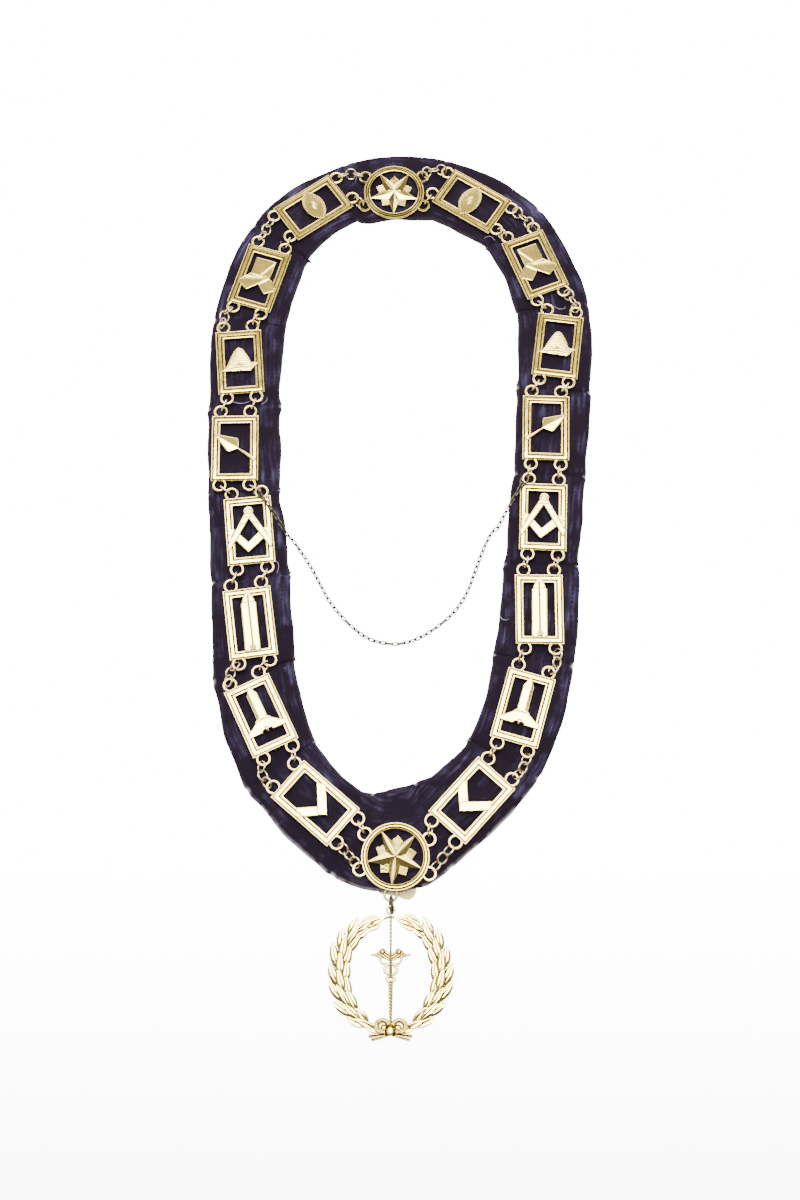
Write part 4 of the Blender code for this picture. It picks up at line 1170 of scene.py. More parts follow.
@dataclass
class Plaque:
    """A moulded frame around one emblem, with four eyelets.

    low and high are the corners of the grid that the emblem is struck on, cell its pitch and back
    the height of the emblem's back. segments is the number of places along a side, and sweep how
    far an eyelet's wire is bent. The moulding's columns are inset from the outside, height above
    the underside and recess, which puts patina in the grooves and paints shade on the walls and
    beads.
    """

    seat: Seat
    art: EmblemArt
    length: float = 43.0
    width: float = 28.4
    low: Point = (-14.0, -18.6)
    high: Point = (14.0, 20.0)
    cell: float = 0.26
    back: float = 1.5
    segments: int = 14
    sweep: float = 284.0
    moulding: Table = (
        (0.90, 0.00, 1.0), (0.80, 0.30, 1.0), (0.35, 1.30, 0.9), (0.04, 1.95, 0.4),
        (0.00, 2.25, 0.1), (0.10, 2.50, 0.25), (0.28, 2.63, 0.42), (0.56, 2.60, 0.42),
        (0.66, 2.48, 0.6), (0.70, 2.20, 1.0), (0.99, 1.80, 1.0), (1.28, 2.24, 1.0),
        (1.34, 2.64, 0.4), (1.50, 2.84, 0.0), (2.25, 2.92, 0.0), (2.98, 2.87, 0.0),
        (3.20, 2.66, 0.4), (3.28, 2.20, 1.0), (3.58, 1.80, 1.0), (3.88, 2.14, 1.0),
        (3.96, 2.42, 0.5), (4.12, 2.56, 0.3), (4.70, 2.58, 0.3), (4.96, 2.44, 0.2),
        (5.14, 2.14, 0.2), (5.20, 1.85, 0.4), (5.00, 1.30, 0.9), (4.55, 0.30, 1.0),
        (4.40, 0.00, 1.0),
    )

    @property
    def mirrored(self) -> bool:
        """Whether the right side carries the emblem the other way round."""
        return self.seat.side is Side.RIGHT and self.seat.emblem in (Emblem.EUCLID, Emblem.TROWEL)

    def frame_surface(self) -> tuple[Array, Array]:
        """The moulding carried around a rectangle and mitred at its corners.

        A place is the corner at its inset moved a share of the way to the next corner.

        Returns:
            Places of shape (4 * segments, profile, 3) and their recess.
        """
        profile = np.array(self.moulding)
        signs = np.array(((1, 1), (-1, 1), (-1, -1), (1, -1)), dtype=float)
        half = np.array((self.width / 2.0, self.length / 2.0))
        corners = signs[:, None, :] * (half[None, None, :] - profile[None, :, :1])
        share = (np.arange(self.segments) / self.segments)[None, :, None, None]
        following = np.roll(corners, -1, axis=0)
        flat = corners[:, None] * (1.0 - share) + following[:, None] * share
        flat = flat.reshape(-1, len(profile), 2)
        height = np.broadcast_to(profile[:, 1] + METAL_BASE, flat.shape[:2])
        points = np.concatenate((flat, height[..., None]), axis=-1)
        seed = 40 + 2 * list(Emblem).index(self.seat.emblem) + self.seat.side.value
        uneven = 0.04 * ripple(points[..., :2], 14.0, seed, 2)
        points[..., 2] += uneven * (profile[:, 1] > 1.0)
        return points, np.broadcast_to(profile[:, 2], flat.shape[:2])

    def eyelets(self) -> Array:
        """The four wire eyelets, two at each end.

        Returns:
            Places of shape (4, steps, sides, 3).
        """
        end = np.array((1.0, 1.0, -1.0, -1.0))
        side = np.array((1.0, -1.0, 1.0, -1.0))
        height = np.full(4, EYELET_Z)
        centres = np.stack((side * EYELET_ASIDE, end * EYELET_BEYOND, height), axis=-1)
        out = np.stack((np.zeros(4), end, np.zeros(4)), axis=-1)
        return soldered(centres, out, self.sweep)

    def build(self) -> None:
        """Make the plaque in place of its node."""
        surfaces = Surfaces()
        points, recess = self.frame_surface()
        surfaces.grid(self.seat.place(points), True, recess)
        hand = -1.0 if self.mirrored else 1.0
        art = self.art.art(self.seat.emblem)

        def seen(places: Array) -> Relief:
            """The emblem, turned over on the mirrored plaques."""
            return art(places * np.array((hand, 1.0)))

        points, quads, recess = struck(seen, self.low, self.high, self.cell, self.back)
        points[:, 2] += METAL_BASE
        surfaces.add(self.seat.place(points), quads, recess)
        surfaces.tubes(self.seat.place(self.eyelets()), False, 0.1)
        surfaces.dress(self.seat.node, GILT, 38.0)


@dataclass(frozen=True)
class Eyelet:
    """A medallion's eyelet: its turn from +X, the strand that it takes, its height and recess."""

    turn: float
    strand: tuple[Side, Row] | None
    height: float = EYELET_Z
    recess: float = 0.1


@dataclass
class Medallion:
    """A moulded ring around a faceted star over hatched blocks, with eyelets at its edge.

    roll is how far the star is turned. Its tips and valleys have a reach from the middle and a
    height, it rises to peak, and its facets are hollow by dish. The blocks are struck on a grid
    that goes out as far as field_reach, with cell as its pitch and their backs at back. steps is
    the number of places around the ring and facet that along a facet's rim and out to it. sweep
    is how far an eyelet's wire is bent. The moulding's columns are inset from the outside, height
    above the underside and recess, which puts patina in the grooves and paints shade on the walls
    and beads.
    """

    name: str
    middle: Point
    roll: float
    eyelets: tuple[Eyelet, ...]
    diameter: float = 38.8
    tip: Point = (16.3, 2.75)
    valley: Point = (6.1, 1.75)
    peak: float = 3.75
    dish: float = 0.12
    field_reach: float = 13.0
    cell: float = 0.24
    back: float = 0.9
    steps: int = 96
    facet: tuple[int, int] = (8, 10)
    sweep: float = 270.0
    moulding: Table = (
        (0.90, 0.00, 1.0), (0.80, 0.30, 1.0), (0.35, 1.30, 0.9), (0.04, 1.95, 0.4),
        (0.00, 2.30, 0.1), (0.12, 2.52, 0.3), (0.42, 2.72, 0.48), (0.76, 2.74, 0.48),
        (0.94, 2.62, 0.6), (1.00, 2.30, 1.0), (1.31, 1.76, 1.0), (1.62, 2.32, 1.0),
        (1.72, 2.76, 0.4), (1.95, 2.94, 0.0), (2.28, 2.94, 0.0), (2.48, 2.76, 0.4),
        (2.56, 2.36, 1.0), (2.87, 1.80, 1.0), (3.18, 2.36, 1.0), (3.26, 2.72, 0.5),
        (3.45, 2.90, 0.4), (3.74, 2.80, 0.3), (3.94, 2.44, 0.2), (4.00, 2.05, 0.4),
        (3.80, 1.30, 0.9), (3.40, 0.30, 1.0), (3.25, 0.00, 1.0),
    )

    def ring_surface(self) -> tuple[Array, Array]:
        """The moulding carried around a circle: radius less inset, at each turn.

        Returns:
            Places of shape (steps, profile, 3) and their recess.
        """
        profile = np.array(self.moulding)
        turn = 2.0 * np.pi * np.arange(self.steps)[:, None] / self.steps
        reach = self.diameter / 2.0 - profile[None, :, 0]
        x = self.middle[0] + reach * np.cos(turn)
        y = self.middle[1] + reach * np.sin(turn)
        z = METAL_BASE + profile[None, :, 1] + 0.0 * turn
        return np.stack((x, y, z), axis=-1), np.broadcast_to(profile[:, 2], x.shape)

    def star_surface(self) -> tuple[Array, Array]:
        """The star: share * rim, falling from the peak, with each facet a little hollow.

        The rim runs straight from a tip to the next valley. A last row drops to the back.

        Returns:
            Places of shape (rows + 2, 10 * columns, 3) and their recess.
        """
        columns, rows = self.facet
        reach, height = np.array((self.tip, self.valley) * 5).T
        angle = np.radians(self.roll - 90.0 + 36.0 * np.arange(10))
        corners = np.stack((reach * np.cos(angle), reach * np.sin(angle), height), axis=-1)
        following = np.roll(corners, -1, axis=0)
        share = (np.arange(columns) / columns)[None, :, None]
        rim = (corners[:, None] * (1.0 - share) + following[:, None] * share).reshape(-1, 3)
        out = np.linspace(0.0, 1.0, rows)[:, None]
        peak = np.array((0.0, 0.0, self.peak))
        surface = peak * (1.0 - out[..., None]) + rim[None] * out[..., None]
        along = np.tile(np.arange(columns) / columns, 10)[None]
        hollow = np.sin(np.pi * along) * np.sin(np.pi * out)
        surface[..., 2] -= self.dish * hollow
        foot = rim[None].copy()
        foot[..., 2] = 1.0
        closing = np.zeros_like(foot)
        closing[..., 2] = 1.0
        points = np.concatenate((surface, foot, closing))
        points += np.array((*self.middle, METAL_BASE))
        # Painted shade: the facets darken towards the star's rim.
        edge = smooth_step(out, 0.86, 1.0) * 0.45 + 0.0 * hollow
        recess = np.concatenate((edge, np.full((2, rim.shape[0]), 0.9)))
        return points, recess

    def blocks(self, places: Array) -> Relief:
        """Five squares that each point outwards between two of the star's tips, hatched one way.

        Args:
            places: Flat places.

        Returns:
            The relief.
        """
        whole: Relief | None = None
        for point in range(5):
            ahead = turned(self.roll - 54.0 + 72.0 * point)
            out = places @ ahead
            aside = places @ np.array((-ahead[1], ahead[0]))
            distance = (np.abs(out - 9.0) + np.abs(aside) - 3.3) * math.sqrt(0.5)
            hatch = waves((out + aside * (-1) ** point) * math.sqrt(0.5), 0.80, 0.34)
            block = Relief(distance, 2.15 + hatch + bevel(distance, 0.3, 0.2))
            whole = block if whole is None else whole.joined(block)
        return whole

    def place_of(self, eyelet: Eyelet) -> Array:
        """The middle of an eyelet, half its radius outside the ring's edge."""
        plan = turned(eyelet.turn) * (self.diameter / 2.0 + EYELET_RADIUS / 2.0)
        return np.array((*(np.array(self.middle) + plan), eyelet.height))

    def end_of(self, side: Side, row: Row) -> Array:
        """The middle of the eyelet that one side's strand is joined to."""
        strand = (side, row)
        return next(self.place_of(eyelet) for eyelet in self.eyelets if eyelet.strand == strand)

    def build(self) -> None:
        """Make the medallion in place of its node."""
        surfaces = Surfaces()
        points, recess = self.ring_surface()
        surfaces.grid(points, True, recess)
        points, recess = self.star_surface()
        surfaces.grid(points, False, recess)
        far = self.field_reach
        low, high = (-far, -far), (far, far)
        points, quads, recess = struck(self.blocks, low, high, self.cell, self.back)
        points += np.array((*self.middle, METAL_BASE))
        surfaces.add(points, quads, recess)
        centres = np.array([self.place_of(eyelet) for eyelet in self.eyelets])
        out = np.array([(*turned(eyelet.turn), 0.0) for eyelet in self.eyelets])
        recess = np.array([eyelet.recess for eyelet in self.eyelets])[:, None, None]
        surfaces.tubes(soldered(centres, out, self.sweep), False, recess)
        surfaces.dress(self.name, GILT, 30.0)


TOP = Medallion("medallion_top", (-4.44, 248.29), -1.0, (
    Eyelet(31.0, (Side.RIGHT, Row.OUTER)), Eyelet(150.0, (Side.LEFT, Row.OUTER)),
    Eyelet(208.0, (Side.LEFT, Row.INNER)), Eyelet(-28.0, (Side.RIGHT, Row.INNER))))
BOTTOM = Medallion("medallion_bottom", (-3.18, -178.24), -7.0, (
    Eyelet(27.0, (Side.RIGHT, Row.INNER)), Eyelet(144.0, (Side.LEFT, Row.INNER)),
    Eyelet(200.0, (Side.LEFT, Row.OUTER)), Eyelet(-27.0, (Side.RIGHT, Row.OUTER)),
    Eyelet(-97.0, None, height=5.6, recess=0.8)))


@dataclass
class JumpRings:
    """The rings of one side, strand by strand.

    counts is the number of rings in each outer strand, from the top gap down, leans are how far
    the first ring of each outer strand leans from upright, and bows are how much of its slack
    strays sideways, negative towards the neck. A ring that is alone leans by lone_lean and hangs
    lone_sag low. In a slack strand apart is the angle between neighbours, taut the share of its
    length that a ring spans, and slack_sag how low the middle hangs.
    """

    side: Side
    counts: tuple[int, ...]
    leans: tuple[float, ...]
    bows: tuple[float, ...]
    radius: float = 3.7
    wire: float = 1.1
    lone_lean: float = 16.0
    lone_sag: float = 0.35
    slack_radius: float = 3.25
    slack_wire: float = 1.0
    slack_sag: float = 1.0
    apart: float = 86.0
    taut: float = 0.93
    steps: int = 28
    sides: int = 9

    def ends(self, gap: int, row: Row) -> tuple[Array, Array]:
        """The two eyelets that a gap's strand joins.

        Args:
            gap: Which gap, counted from the top.
            row: Which of its two strands.

        Returns:
            The upper and the lower eyelet's middle.
        """
        seats = SEATS[self.side]
        upper = seats[gap - 1].eyelet(row, -1.0) if gap > 0 else TOP.end_of(self.side, row)
        if gap < len(seats):
            return upper, seats[gap].eyelet(row, 1.0)
        return upper, BOTTOM.end_of(self.side, row)

    def slack_path(self, gap: int, start: Array, end: Array, count: int) -> Array:
        """Ring middles on an arc from eyelet to eyelet, bowed away from the neck until it fits.

        The spans have fixed lengths and turn by equal angles, so their reach along the line
        between the eyelets is the sum of length * cos(turn); the turn is found by halving.

        Args:
            gap: Which gap, counted from the top.
            start: First eyelet.
            end: Last eyelet.
            count: Number of rings.

        Returns:
            Places of shape (count, 3).
        """
        wires_between = (EYELET_WIRE + self.slack_wire) / 2.0
        first = self.taut * (EYELET_RADIUS + self.slack_radius - wires_between)
        between = self.taut * (2.0 * self.slack_radius - self.slack_wire)
        spans = np.array([first] + [between] * (count - 1) + [first])
        shares = np.linspace(-1.0, 1.0, count + 1)
        chord = end - start
        length = float(np.linalg.norm(chord))
        low, high = 0.0, math.radians(100.0)
        for _ in range(30):
            turn = (low + high) / 2.0
            too_long = (spans * np.cos(turn * shares)).sum() > length
            low, high = (turn, high) if too_long else (low, turn)
        along = chord / length
        aside = np.cross(UP, along) * self.side.value
        reach = np.cumsum(spans * np.cos(low * shares))[:-1]
        bow = np.cumsum(-spans * np.sin(low * shares))[:-1]
        reach *= length / (spans * np.cos(low * shares)).sum()
        middles = start + reach[:, None] * along + bow[:, None] * aside * self.bows[gap]
        middles[:, 2] -= self.slack_sag * np.sin(np.pi * (np.arange(count) + 0.5) / count)
        return middles

    def strand(self, gap: int, row: Row) -> Array:
        """The rings of one strand, each leaning the other way from its neighbours.

        Args:
            gap: Which gap, counted from the top.
            row: Which of its two strands.

        Returns:
            Places of shape (rings, steps, sides, 3).
        """
        start, end = self.ends(gap, row)
        count = 1 if row is Row.INNER else self.counts[gap]
        if count == 1:
            middles = ((start + end) / 2.0)[None]
            radius, wire = self.radius, self.wire
            middles[:, 2] -= self.lone_sag
            leans = np.array((self.lone_lean if gap % 2 else -self.lone_lean,))
        else:
            middles = self.slack_path(gap, start, end, count)
            radius, wire = self.slack_radius, self.slack_wire
            turned_back = self.apart * (np.arange(count) % 2) * -np.sign(self.leans[gap])
            leans = self.leans[gap] + turned_back
        track = np.concatenate((start[None], middles, end[None]))
        ahead = track[2:] - track[:-2]
        ahead[:, 2] = 0.0
        ahead /= np.linalg.norm(ahead, axis=1, keepdims=True)
        aside = np.cross(UP, ahead)
        angle = np.radians(leans)[:, None]
        rise = UP * np.cos(angle) + aside * np.sin(angle)
        return wires(middles, ahead, rise, radius, radius, wire, self.steps, self.sides)

    def build(self) -> None:
        """Make each strand in place of its node."""
        for gap in range(len(self.counts)):
            for row in Row:
                surfaces = Surfaces()
                surfaces.tubes(self.strand(gap, row), True, 0.15)
                node = f"links_{self.side.name.lower()}_{gap}_{row.name.lower()}"
                surfaces.dress(node, LINK_METAL, 60.0)


@dataclass
class StayChain:
    """Oval links along the chain's route, each turned a right angle from its neighbours.

    Where the chain lies down it is higher than its route by lift and, on the right, by lift_right
    more. An end ring's middle is end_reach beyond the last link's.
    """

    length: float = 5.3
    width: float = 2.9
    wire: float = 0.88
    lean: float = 45.0
    lift: float = 2.0
    lift_right: float = 2.6
    end_radius: float = 2.9
    end_wire: float = 0.8
    end_reach: float = 3.4
    route: Table = (
        (-85.6, 39.8, 9.4), (-79.6, 32.3, 9.2), (-74.4, 24.3, 7.8), (-69.0, 16.1, 4.2),
        (-63.6, 8.3, 1.6), (-57.7, -0.5, 1.4), (-52.2, -9.7, 1.4), (-47.3, -19.3, 1.4),
        (-42.2, -28.5, 1.4), (-35.7, -36.9, 1.4), (-28.4, -44.5, 1.4), (-19.6, -51.0, 1.4),
        (-9.7, -54.1, 1.4), (0.8, -54.4, 1.4), (10.8, -51.9, 1.4), (20.2, -47.0, 1.4),
        (28.5, -40.5, 1.4), (35.1, -32.5, 1.4), (40.0, -23.5, 1.4), (43.7, -13.5, 1.4),
        (47.3, -3.5, 1.4), (51.2, 6.1, 1.5), (55.8, 15.5, 2.6), (61.2, 25.1, 6.0),
        (66.2, 34.1, 7.6), (71.3, 42.7, 9.0), (73.6, 46.9, 9.2),
    )

    def links(self) -> tuple[Array, Array]:
        """The links, spaced evenly by their inner length.

        Returns:
            Their middles and their directions.
        """
        path = curve_through(np.array(self.route), 12)
        resting = 1.0 - smooth_step(path[:, 2], 1.4, 4.0)
        on_right = smooth_step(path[:, 0], -5.0, 30.0)
        path[:, 1] += resting * (self.lift + self.lift_right * on_right)
        travelled = distances_along(path)
        pitch = self.length - 2.0 * self.wire
        count = int(round(travelled[-1] / pitch))
        spots = (np.arange(count) + 0.5) * travelled[-1] / count
        ahead = sampled(path, travelled, spots + 1.0) - sampled(path, travelled, spots - 1.0)
        ahead /= np.linalg.norm(ahead, axis=1, keepdims=True)
        return sampled(path, travelled, spots), ahead

    def build(self) -> None:
        """Make the chain and its two end rings in place of the plain cord."""
        middles, ahead = self.links()
        beside = np.cross(ahead, UP)
        beside /= np.linalg.norm(beside, axis=1, keepdims=True)
        above = np.cross(beside, ahead)
        number = np.arange(len(middles))
        lean = np.where(number % 2, self.lean, -self.lean) + 9.0 * np.sin(number * 2.4)
        lean = np.radians(lean)[:, None]
        rise = beside * np.cos(lean) + above * np.sin(lean)
        half_length = (self.length - self.wire) / 2.0
        half_width = (self.width - self.wire) / 2.0
        surfaces = Surfaces()
        # Painted shade: each link darkens towards its ends, where its neighbours pass through it.
        link_end_shade = np.abs(np.cos(2.0 * np.pi * np.arange(20) / 20))[:, None] ** 3
        ovals = wires(middles, ahead, rise, half_length, half_width, self.wire, 20, 7)
        surfaces.tubes(ovals, True, 0.32 + 0.68 * link_end_shade)
        outward = ahead[[0, -1]] * np.array(((-1.0,), (1.0,)))
        ends = middles[[0, -1]] + outward * self.end_reach
        ends[:, 2] -= 0.9
        radius = self.end_radius
        rings = wires(ends, ahead[[0, -1]], -rise[[0, -1]], radius, radius, self.end_wire, 28, 8)
        surfaces.tubes(rings, True, 0.2)
        surfaces.dress("stay_chain", CHAIN_METAL, 60.0)


@dataclass
class Pendant:
    """The laurel wreath with the winged staff in it, the bow under it and the ring that holds it.

    Places are counted from the wreath's top, which is drop below its loop, with y downwards
    negative. The staff and the bow are struck on grids of the pitch cell, with their backs at
    back, and soiling darkens them. The branch's columns are x, y and half the branch's breadth,
    and a leaf section's are its share of the half breadth, its share of the height and its
    recess: a flat face with a sunk rib, and rims darkened by painted shade.
    """

    loop: Place = (-5.76, -207.40, 2.4)
    eyelet: Place = (-5.76, -200.56, 5.6)
    drop: float = 2.2
    ring_radius: float = 4.25
    ring_wire: float = 1.7
    ring_lean: float = 9.0
    cell: float = 0.22
    back: float = 0.5
    soiling: float = 0.40
    clusters: int = 9
    branch: Table = (
        (3.5, -62.8, 1.6), (11.2, -60.6, 3.1), (18.2, -55.4, 4.0), (23.4, -48.8, 4.4),
        (26.5, -41.5, 4.6), (27.9, -33.6, 4.6), (27.5, -25.5, 4.6), (25.2, -17.9, 4.2),
        (21.2, -11.4, 3.7), (15.6, -6.9, 3.0), (9.0, -4.1, 2.1), (1.4, -1.6, 1.1),
    )
    leaf: Table = (
        (1.00, 0.00, 1.0), (0.88, 0.42, 1.0), (0.78, 0.74, 1.0), (0.68, 0.92, 0.0),
        (0.10, 0.96, 0.0), (0.00, 0.84, 0.45), (-0.10, 0.96, 0.0), (-0.68, 0.92, 0.0),
        (-0.78, 0.74, 1.0), (-0.88, 0.42, 1.0), (-1.00, 0.00, 1.0), (-0.55, -0.35, 1.0),
        (0.55, -0.35, 1.0),
    )

    @property
    def origin(self) -> Array:
        """The wreath's top, from which its places are counted."""
        return np.array((self.loop[0], self.loop[1] - self.drop, 0.0))

    def leaves(self, hand: float) -> Array:
        """Ribbed leaves in threes up one branch: one outwards, one inwards and one on top.

        A leaf is base + ahead * length * u + aside * breadth(u) * share, where the breadth is a
        power of a sine along u, and its height is a low arch along u times the section's.

        Args:
            hand: 1 for the right branch and -1 for the left.

        Returns:
            Places of shape (leaves, rows, around, 3).
        """
        path = curve_through(np.array(self.branch), 16)
        travelled = distances_along(path[:, :2])
        kind = np.tile((-1.0, 1.0, 0.0), self.clusters)
        cluster = np.repeat(np.arange(self.clusters), 3)
        share = (cluster + 0.10 + 0.45 * (kind == 0.0)) / (self.clusters + 0.95)
        spot = share * travelled[-1]
        base = sampled(path, travelled, spot)
        ahead = sampled(path[:, :2], travelled, spot + 5.0) - base[:, :2]
        ahead /= np.linalg.norm(ahead, axis=1, keepdims=True)
        generator = np.random.default_rng(5 if hand > 0 else 6)
        jitter = generator.normal(size=len(kind))
        size = base[:, 2] / 4.6
        splay = kind * np.where(kind > 0, 14.0, 13.0) + 2.0 * jitter
        splay = np.radians(splay * smooth_step(size, 0.35, 0.9))
        side = np.stack((ahead[:, 1], -ahead[:, 0]), axis=-1)
        root = base[:, :2] + side * (kind * base[:, 2] * 0.32)[:, None]
        way = ahead * np.cos(splay)[:, None] + side * np.sin(splay)[:, None]
        across = np.stack((way[:, 1], -way[:, 0]), axis=-1)
        length = (14.6 + 0.7 * np.roll(jitter, 1)) * (0.5 + 0.5 * size)
        breadth = 2.6 * (0.40 + 0.60 * size)
        u = np.linspace(0.0, 1.0, 12)[None, :, None]
        section = np.array(self.leaf)
        half = breadth[:, None, None] * np.sin(np.pi * u**0.88) ** 0.75 + 0.03
        reach = length[:, None, None] * u
        aside = half * section[:, 0] + 1.6 * kind[:, None, None] * (u - u**2)
        low = np.where(kind == 0.0, 1.45, 0.55)[:, None, None] + 0.6 * u
        body = 0.35 + 0.75 * np.sin(np.pi * np.clip(u * 1.02, 0.0, 1.0))
        z = low + body * section[:, 1]
        root, way, across = (part[:, None, None, :] for part in (root, way, across))
        plan = root + way * reach[..., None] + across * aside[..., None]
        return np.stack((plan[..., 0] * hand, plan[..., 1], z), axis=-1) + self.origin

    def staff(self, places: Array) -> Relief:
        """Wings at the staff's head, with curled tops, and two snakes looped around it.

        Args:
            places: Flat places.

        Returns:
            The relief.
        """
        p = np.stack((np.abs(places[..., 0]), places[..., 1]), axis=-1)
        outline = polygon(p, (
            (0.3, -21.6), (1.9, -20.5), (2.8, -19.4), (4.2, -18.6), (5.6, -19.2), (7.2, -20.6),
            (8.4, -21.7), (10.1, -21.6), (11.7, -22.0), (10.1, -22.7), (8.7, -23.1), (7.2, -23.4),
            (5.6, -24.2), (3.9, -23.9), (2.5, -24.8), (1.0, -25.4), (0.3, -25.4)))
        feathers = waves(p[..., 1] * 0.8 - 0.55 * p[..., 0], 1.25, 0.45)
        feathers = feathers * smooth_step(-p[..., 1], 20.2, 21.2)
        curl = ridge(disc(p, (4.5, -20.6), 1.15), 0.45, -0.6)
        wings = Relief(outline, 2.5 + bevel(outline, 0.5, 0.4) + feathers + curl)
        neck = ((6.1, -24.0), (5.7, -25.6), (4.5, -26.8), (2.6, -27.4), (0.0, -27.2))
        arms = np.min([stroke(p, a, b, 0.62, 0.62) for a, b in zip(neck[:-1], neck[1:])], axis=0)
        necks = Relief(arms, 2.4 + bevel(arms, 0.6, 0.8))
        large = np.abs(disc((places - (0.1, -30.0)) * (0.84, 1.0), (0.0, 0.0), 2.85)) - 0.78
        small = np.abs(disc((places - (0.0, -35.3)) * (0.8, 1.0), (0.0, 0.0), 1.6)) - 0.70
        coil = Relief(np.minimum(large, small), 2.7 + bevel(np.minimum(large, small), 0.6, 0.8))
        return wings.joined(necks).joined(coil)

    def bow(self, places: Array) -> Relief:
        """A ribbon bow: two rolled loops, two forked tails and the knot over them.

        Args:
            places: Flat places.

        Returns:
            The relief.
        """
        whole: Relief | None = None
        for hand in (-1.0, 1.0):
            p = places * np.array((hand, 1.0))
            tail = polygon(p, (
                (0.8, -63.4), (6.3, -63.7), (11.6, -64.8), (12.1, -66.0), (10.4, -66.9),
                (10.7, -68.6), (6.3, -67.4), (0.8, -65.6)))
            fan = (p[..., 1] + 64.6 + 0.22 * p[..., 0]) / (0.6 + 0.14 * np.abs(p[..., 0]))
            grooves = waves(fan + 0.5, 1.0, 0.45)
            form = Relief(tail, 1.9 + bevel(tail, 0.4, 0.35) + grooves)
            whole = form if whole is None else whole.joined(form)
        for hand, middle in ((-1.0, (-4.5, -60.2)), (1.0, (4.8, -60.2))):
            p = (places - np.array(middle)) * np.array((hand, 1.0))
            narrowed = p * (0.90, 1.0)
            loop = disc(narrowed, (0.0, 0.0), 4.3)
            roll = 1.1 * smooth_step(disc(narrowed, (0.0, 0.0), 2.5), -0.5, 0.2)
            fold = ridge(disc(p, (-0.9, -1.2), 1.5), 0.40, -0.8)
            fold = fold + ridge(disc(narrowed, (0.0, 0.0), 3.3), 0.3, -0.35)
            whole = whole.joined(Relief(loop, 1.9 + bevel(loop, 0.7, 0.6) + roll + fold))
        knot = disc((places - np.array((-0.2, -63.0))) * np.array((1.22, 1.0)), (0.0, 0.0), 2.5)
        whole = Relief(whole.distance, whole.height - ridge(knot - 0.5, 0.6, 1.1))
        return whole.joined(Relief(knot, 3.9 + bevel(knot, 1.4, 1.1)))

    def twisted_rod(self) -> list[tuple[Array, Array]]:
        """Two strands wound about the staff, thin above the wings and a tapering rope below.

        A strand's place is the staff's plus radius * (cos, sin) of a turn that grows down it.

        Returns:
            Paths with the strands' radii.
        """
        found = []
        stretches = ((-18.0, -1.0, 0.40, 0.40, 4.2), (-60.0, -36.4, 0.74, 0.42, 3.4))
        for low, high, broad, narrow, pitch in stretches:
            y = np.linspace(high, low, 120)
            half = np.linspace(broad, narrow, 120)
            for phase in (0.0, np.pi):
                turn = 2.0 * np.pi * y / pitch + phase
                path = np.stack((half * np.cos(turn), y, 2.0 + half * np.sin(turn)), axis=-1)
                found.append((path + self.origin, 1.05 * half))
        bar = np.stack((np.zeros(12), np.linspace(-17.2, -35.0, 12), np.full(12, 2.2)), axis=-1)
        found.append((bar + self.origin, np.sin(np.linspace(0.5, 0.5 * np.pi, 12))))
        return found

    def ring(self) -> Array:
        """The leaning ring whose chord runs from the medallion's eyelet to the wreath's loop.

        Its middle is off the chord's by the root of its radius squared less half the chord squared.

        Returns:
            Places of shape (1, steps, sides, 3).
        """
        eyelet, loop = np.array(self.eyelet), np.array(self.loop)
        chord = loop - eyelet
        reach = float(np.linalg.norm(chord))
        radius, lean = self.ring_radius, math.radians(self.ring_lean)
        along = chord / reach
        east = np.array((1.0, 0.0, 0.0))
        lift = np.cross(east, along)
        lift *= math.copysign(1.0, lift[2]) / np.linalg.norm(lift)
        lift = lift * math.cos(lean) + east * math.sin(lean)
        middle = (eyelet + loop) / 2.0 + lift * math.sqrt(radius**2 - (reach / 2.0) ** 2)
        return wires(middle[None], along[None], lift[None], radius, radius, self.ring_wire, 36, 12)

    def build(self) -> None:
        """Make the wreath and its ring in place of their nodes."""
        surfaces = Surfaces()
        rims = np.array(self.leaf)[:, 2]
        stem = curve_through(np.array((*self.branch, (0.0, -1.2, 1.0))), 8)
        height = np.full(len(stem), 1.4)
        for hand in (1.0, -1.0):
            surfaces.tubes(self.leaves(hand), False, rims, 0.0)
            path = np.stack((stem[:, 0] * hand, stem[:, 1], height), axis=-1) + self.origin
            surfaces.tubes(tube(path, 0.7, 8), False, 0.4)
        fields = (
            (self.staff, (-13.0, -38.0), (13.0, -17.0)),
            (self.bow, (-14.0, -70.0), (14.0, -54.0)),
        )
        for art, low, high in fields:
            points, quads, recess = struck(art, low, high, self.cell, self.back, 4)
            surfaces.add(points + self.origin, quads, np.clip(recess + self.soiling, 0.0, 1.0))
        for path, radius in self.twisted_rod():
            surfaces.tubes(tube(path, radius, 8), False, 0.25)
        loop = np.array(self.loop)[None]
        east, north = np.array(((1.0, 0.0, 0.0),)), np.array(((0.0, 1.0, 0.0),))
        surfaces.tubes(wires(loop, east, north, 2.15, 2.15, 1.3, 28, 10), True, 0.35)
        surfaces.dress("wreath", GILT, 38.0)
        ring = Surfaces()
        ring.tubes(self.ring(), True, 0.6)
        ring.dress("pendant_ring", CHAIN_METAL, 60.0)


# --- the cloth


@dataclass(frozen=True)
class Cut:
    """A cut across the band: both edges in plan, and shares of height, crease and lining's show."""

    inner: Array
    outer: Array
    height: float
    crease: float
    show: float


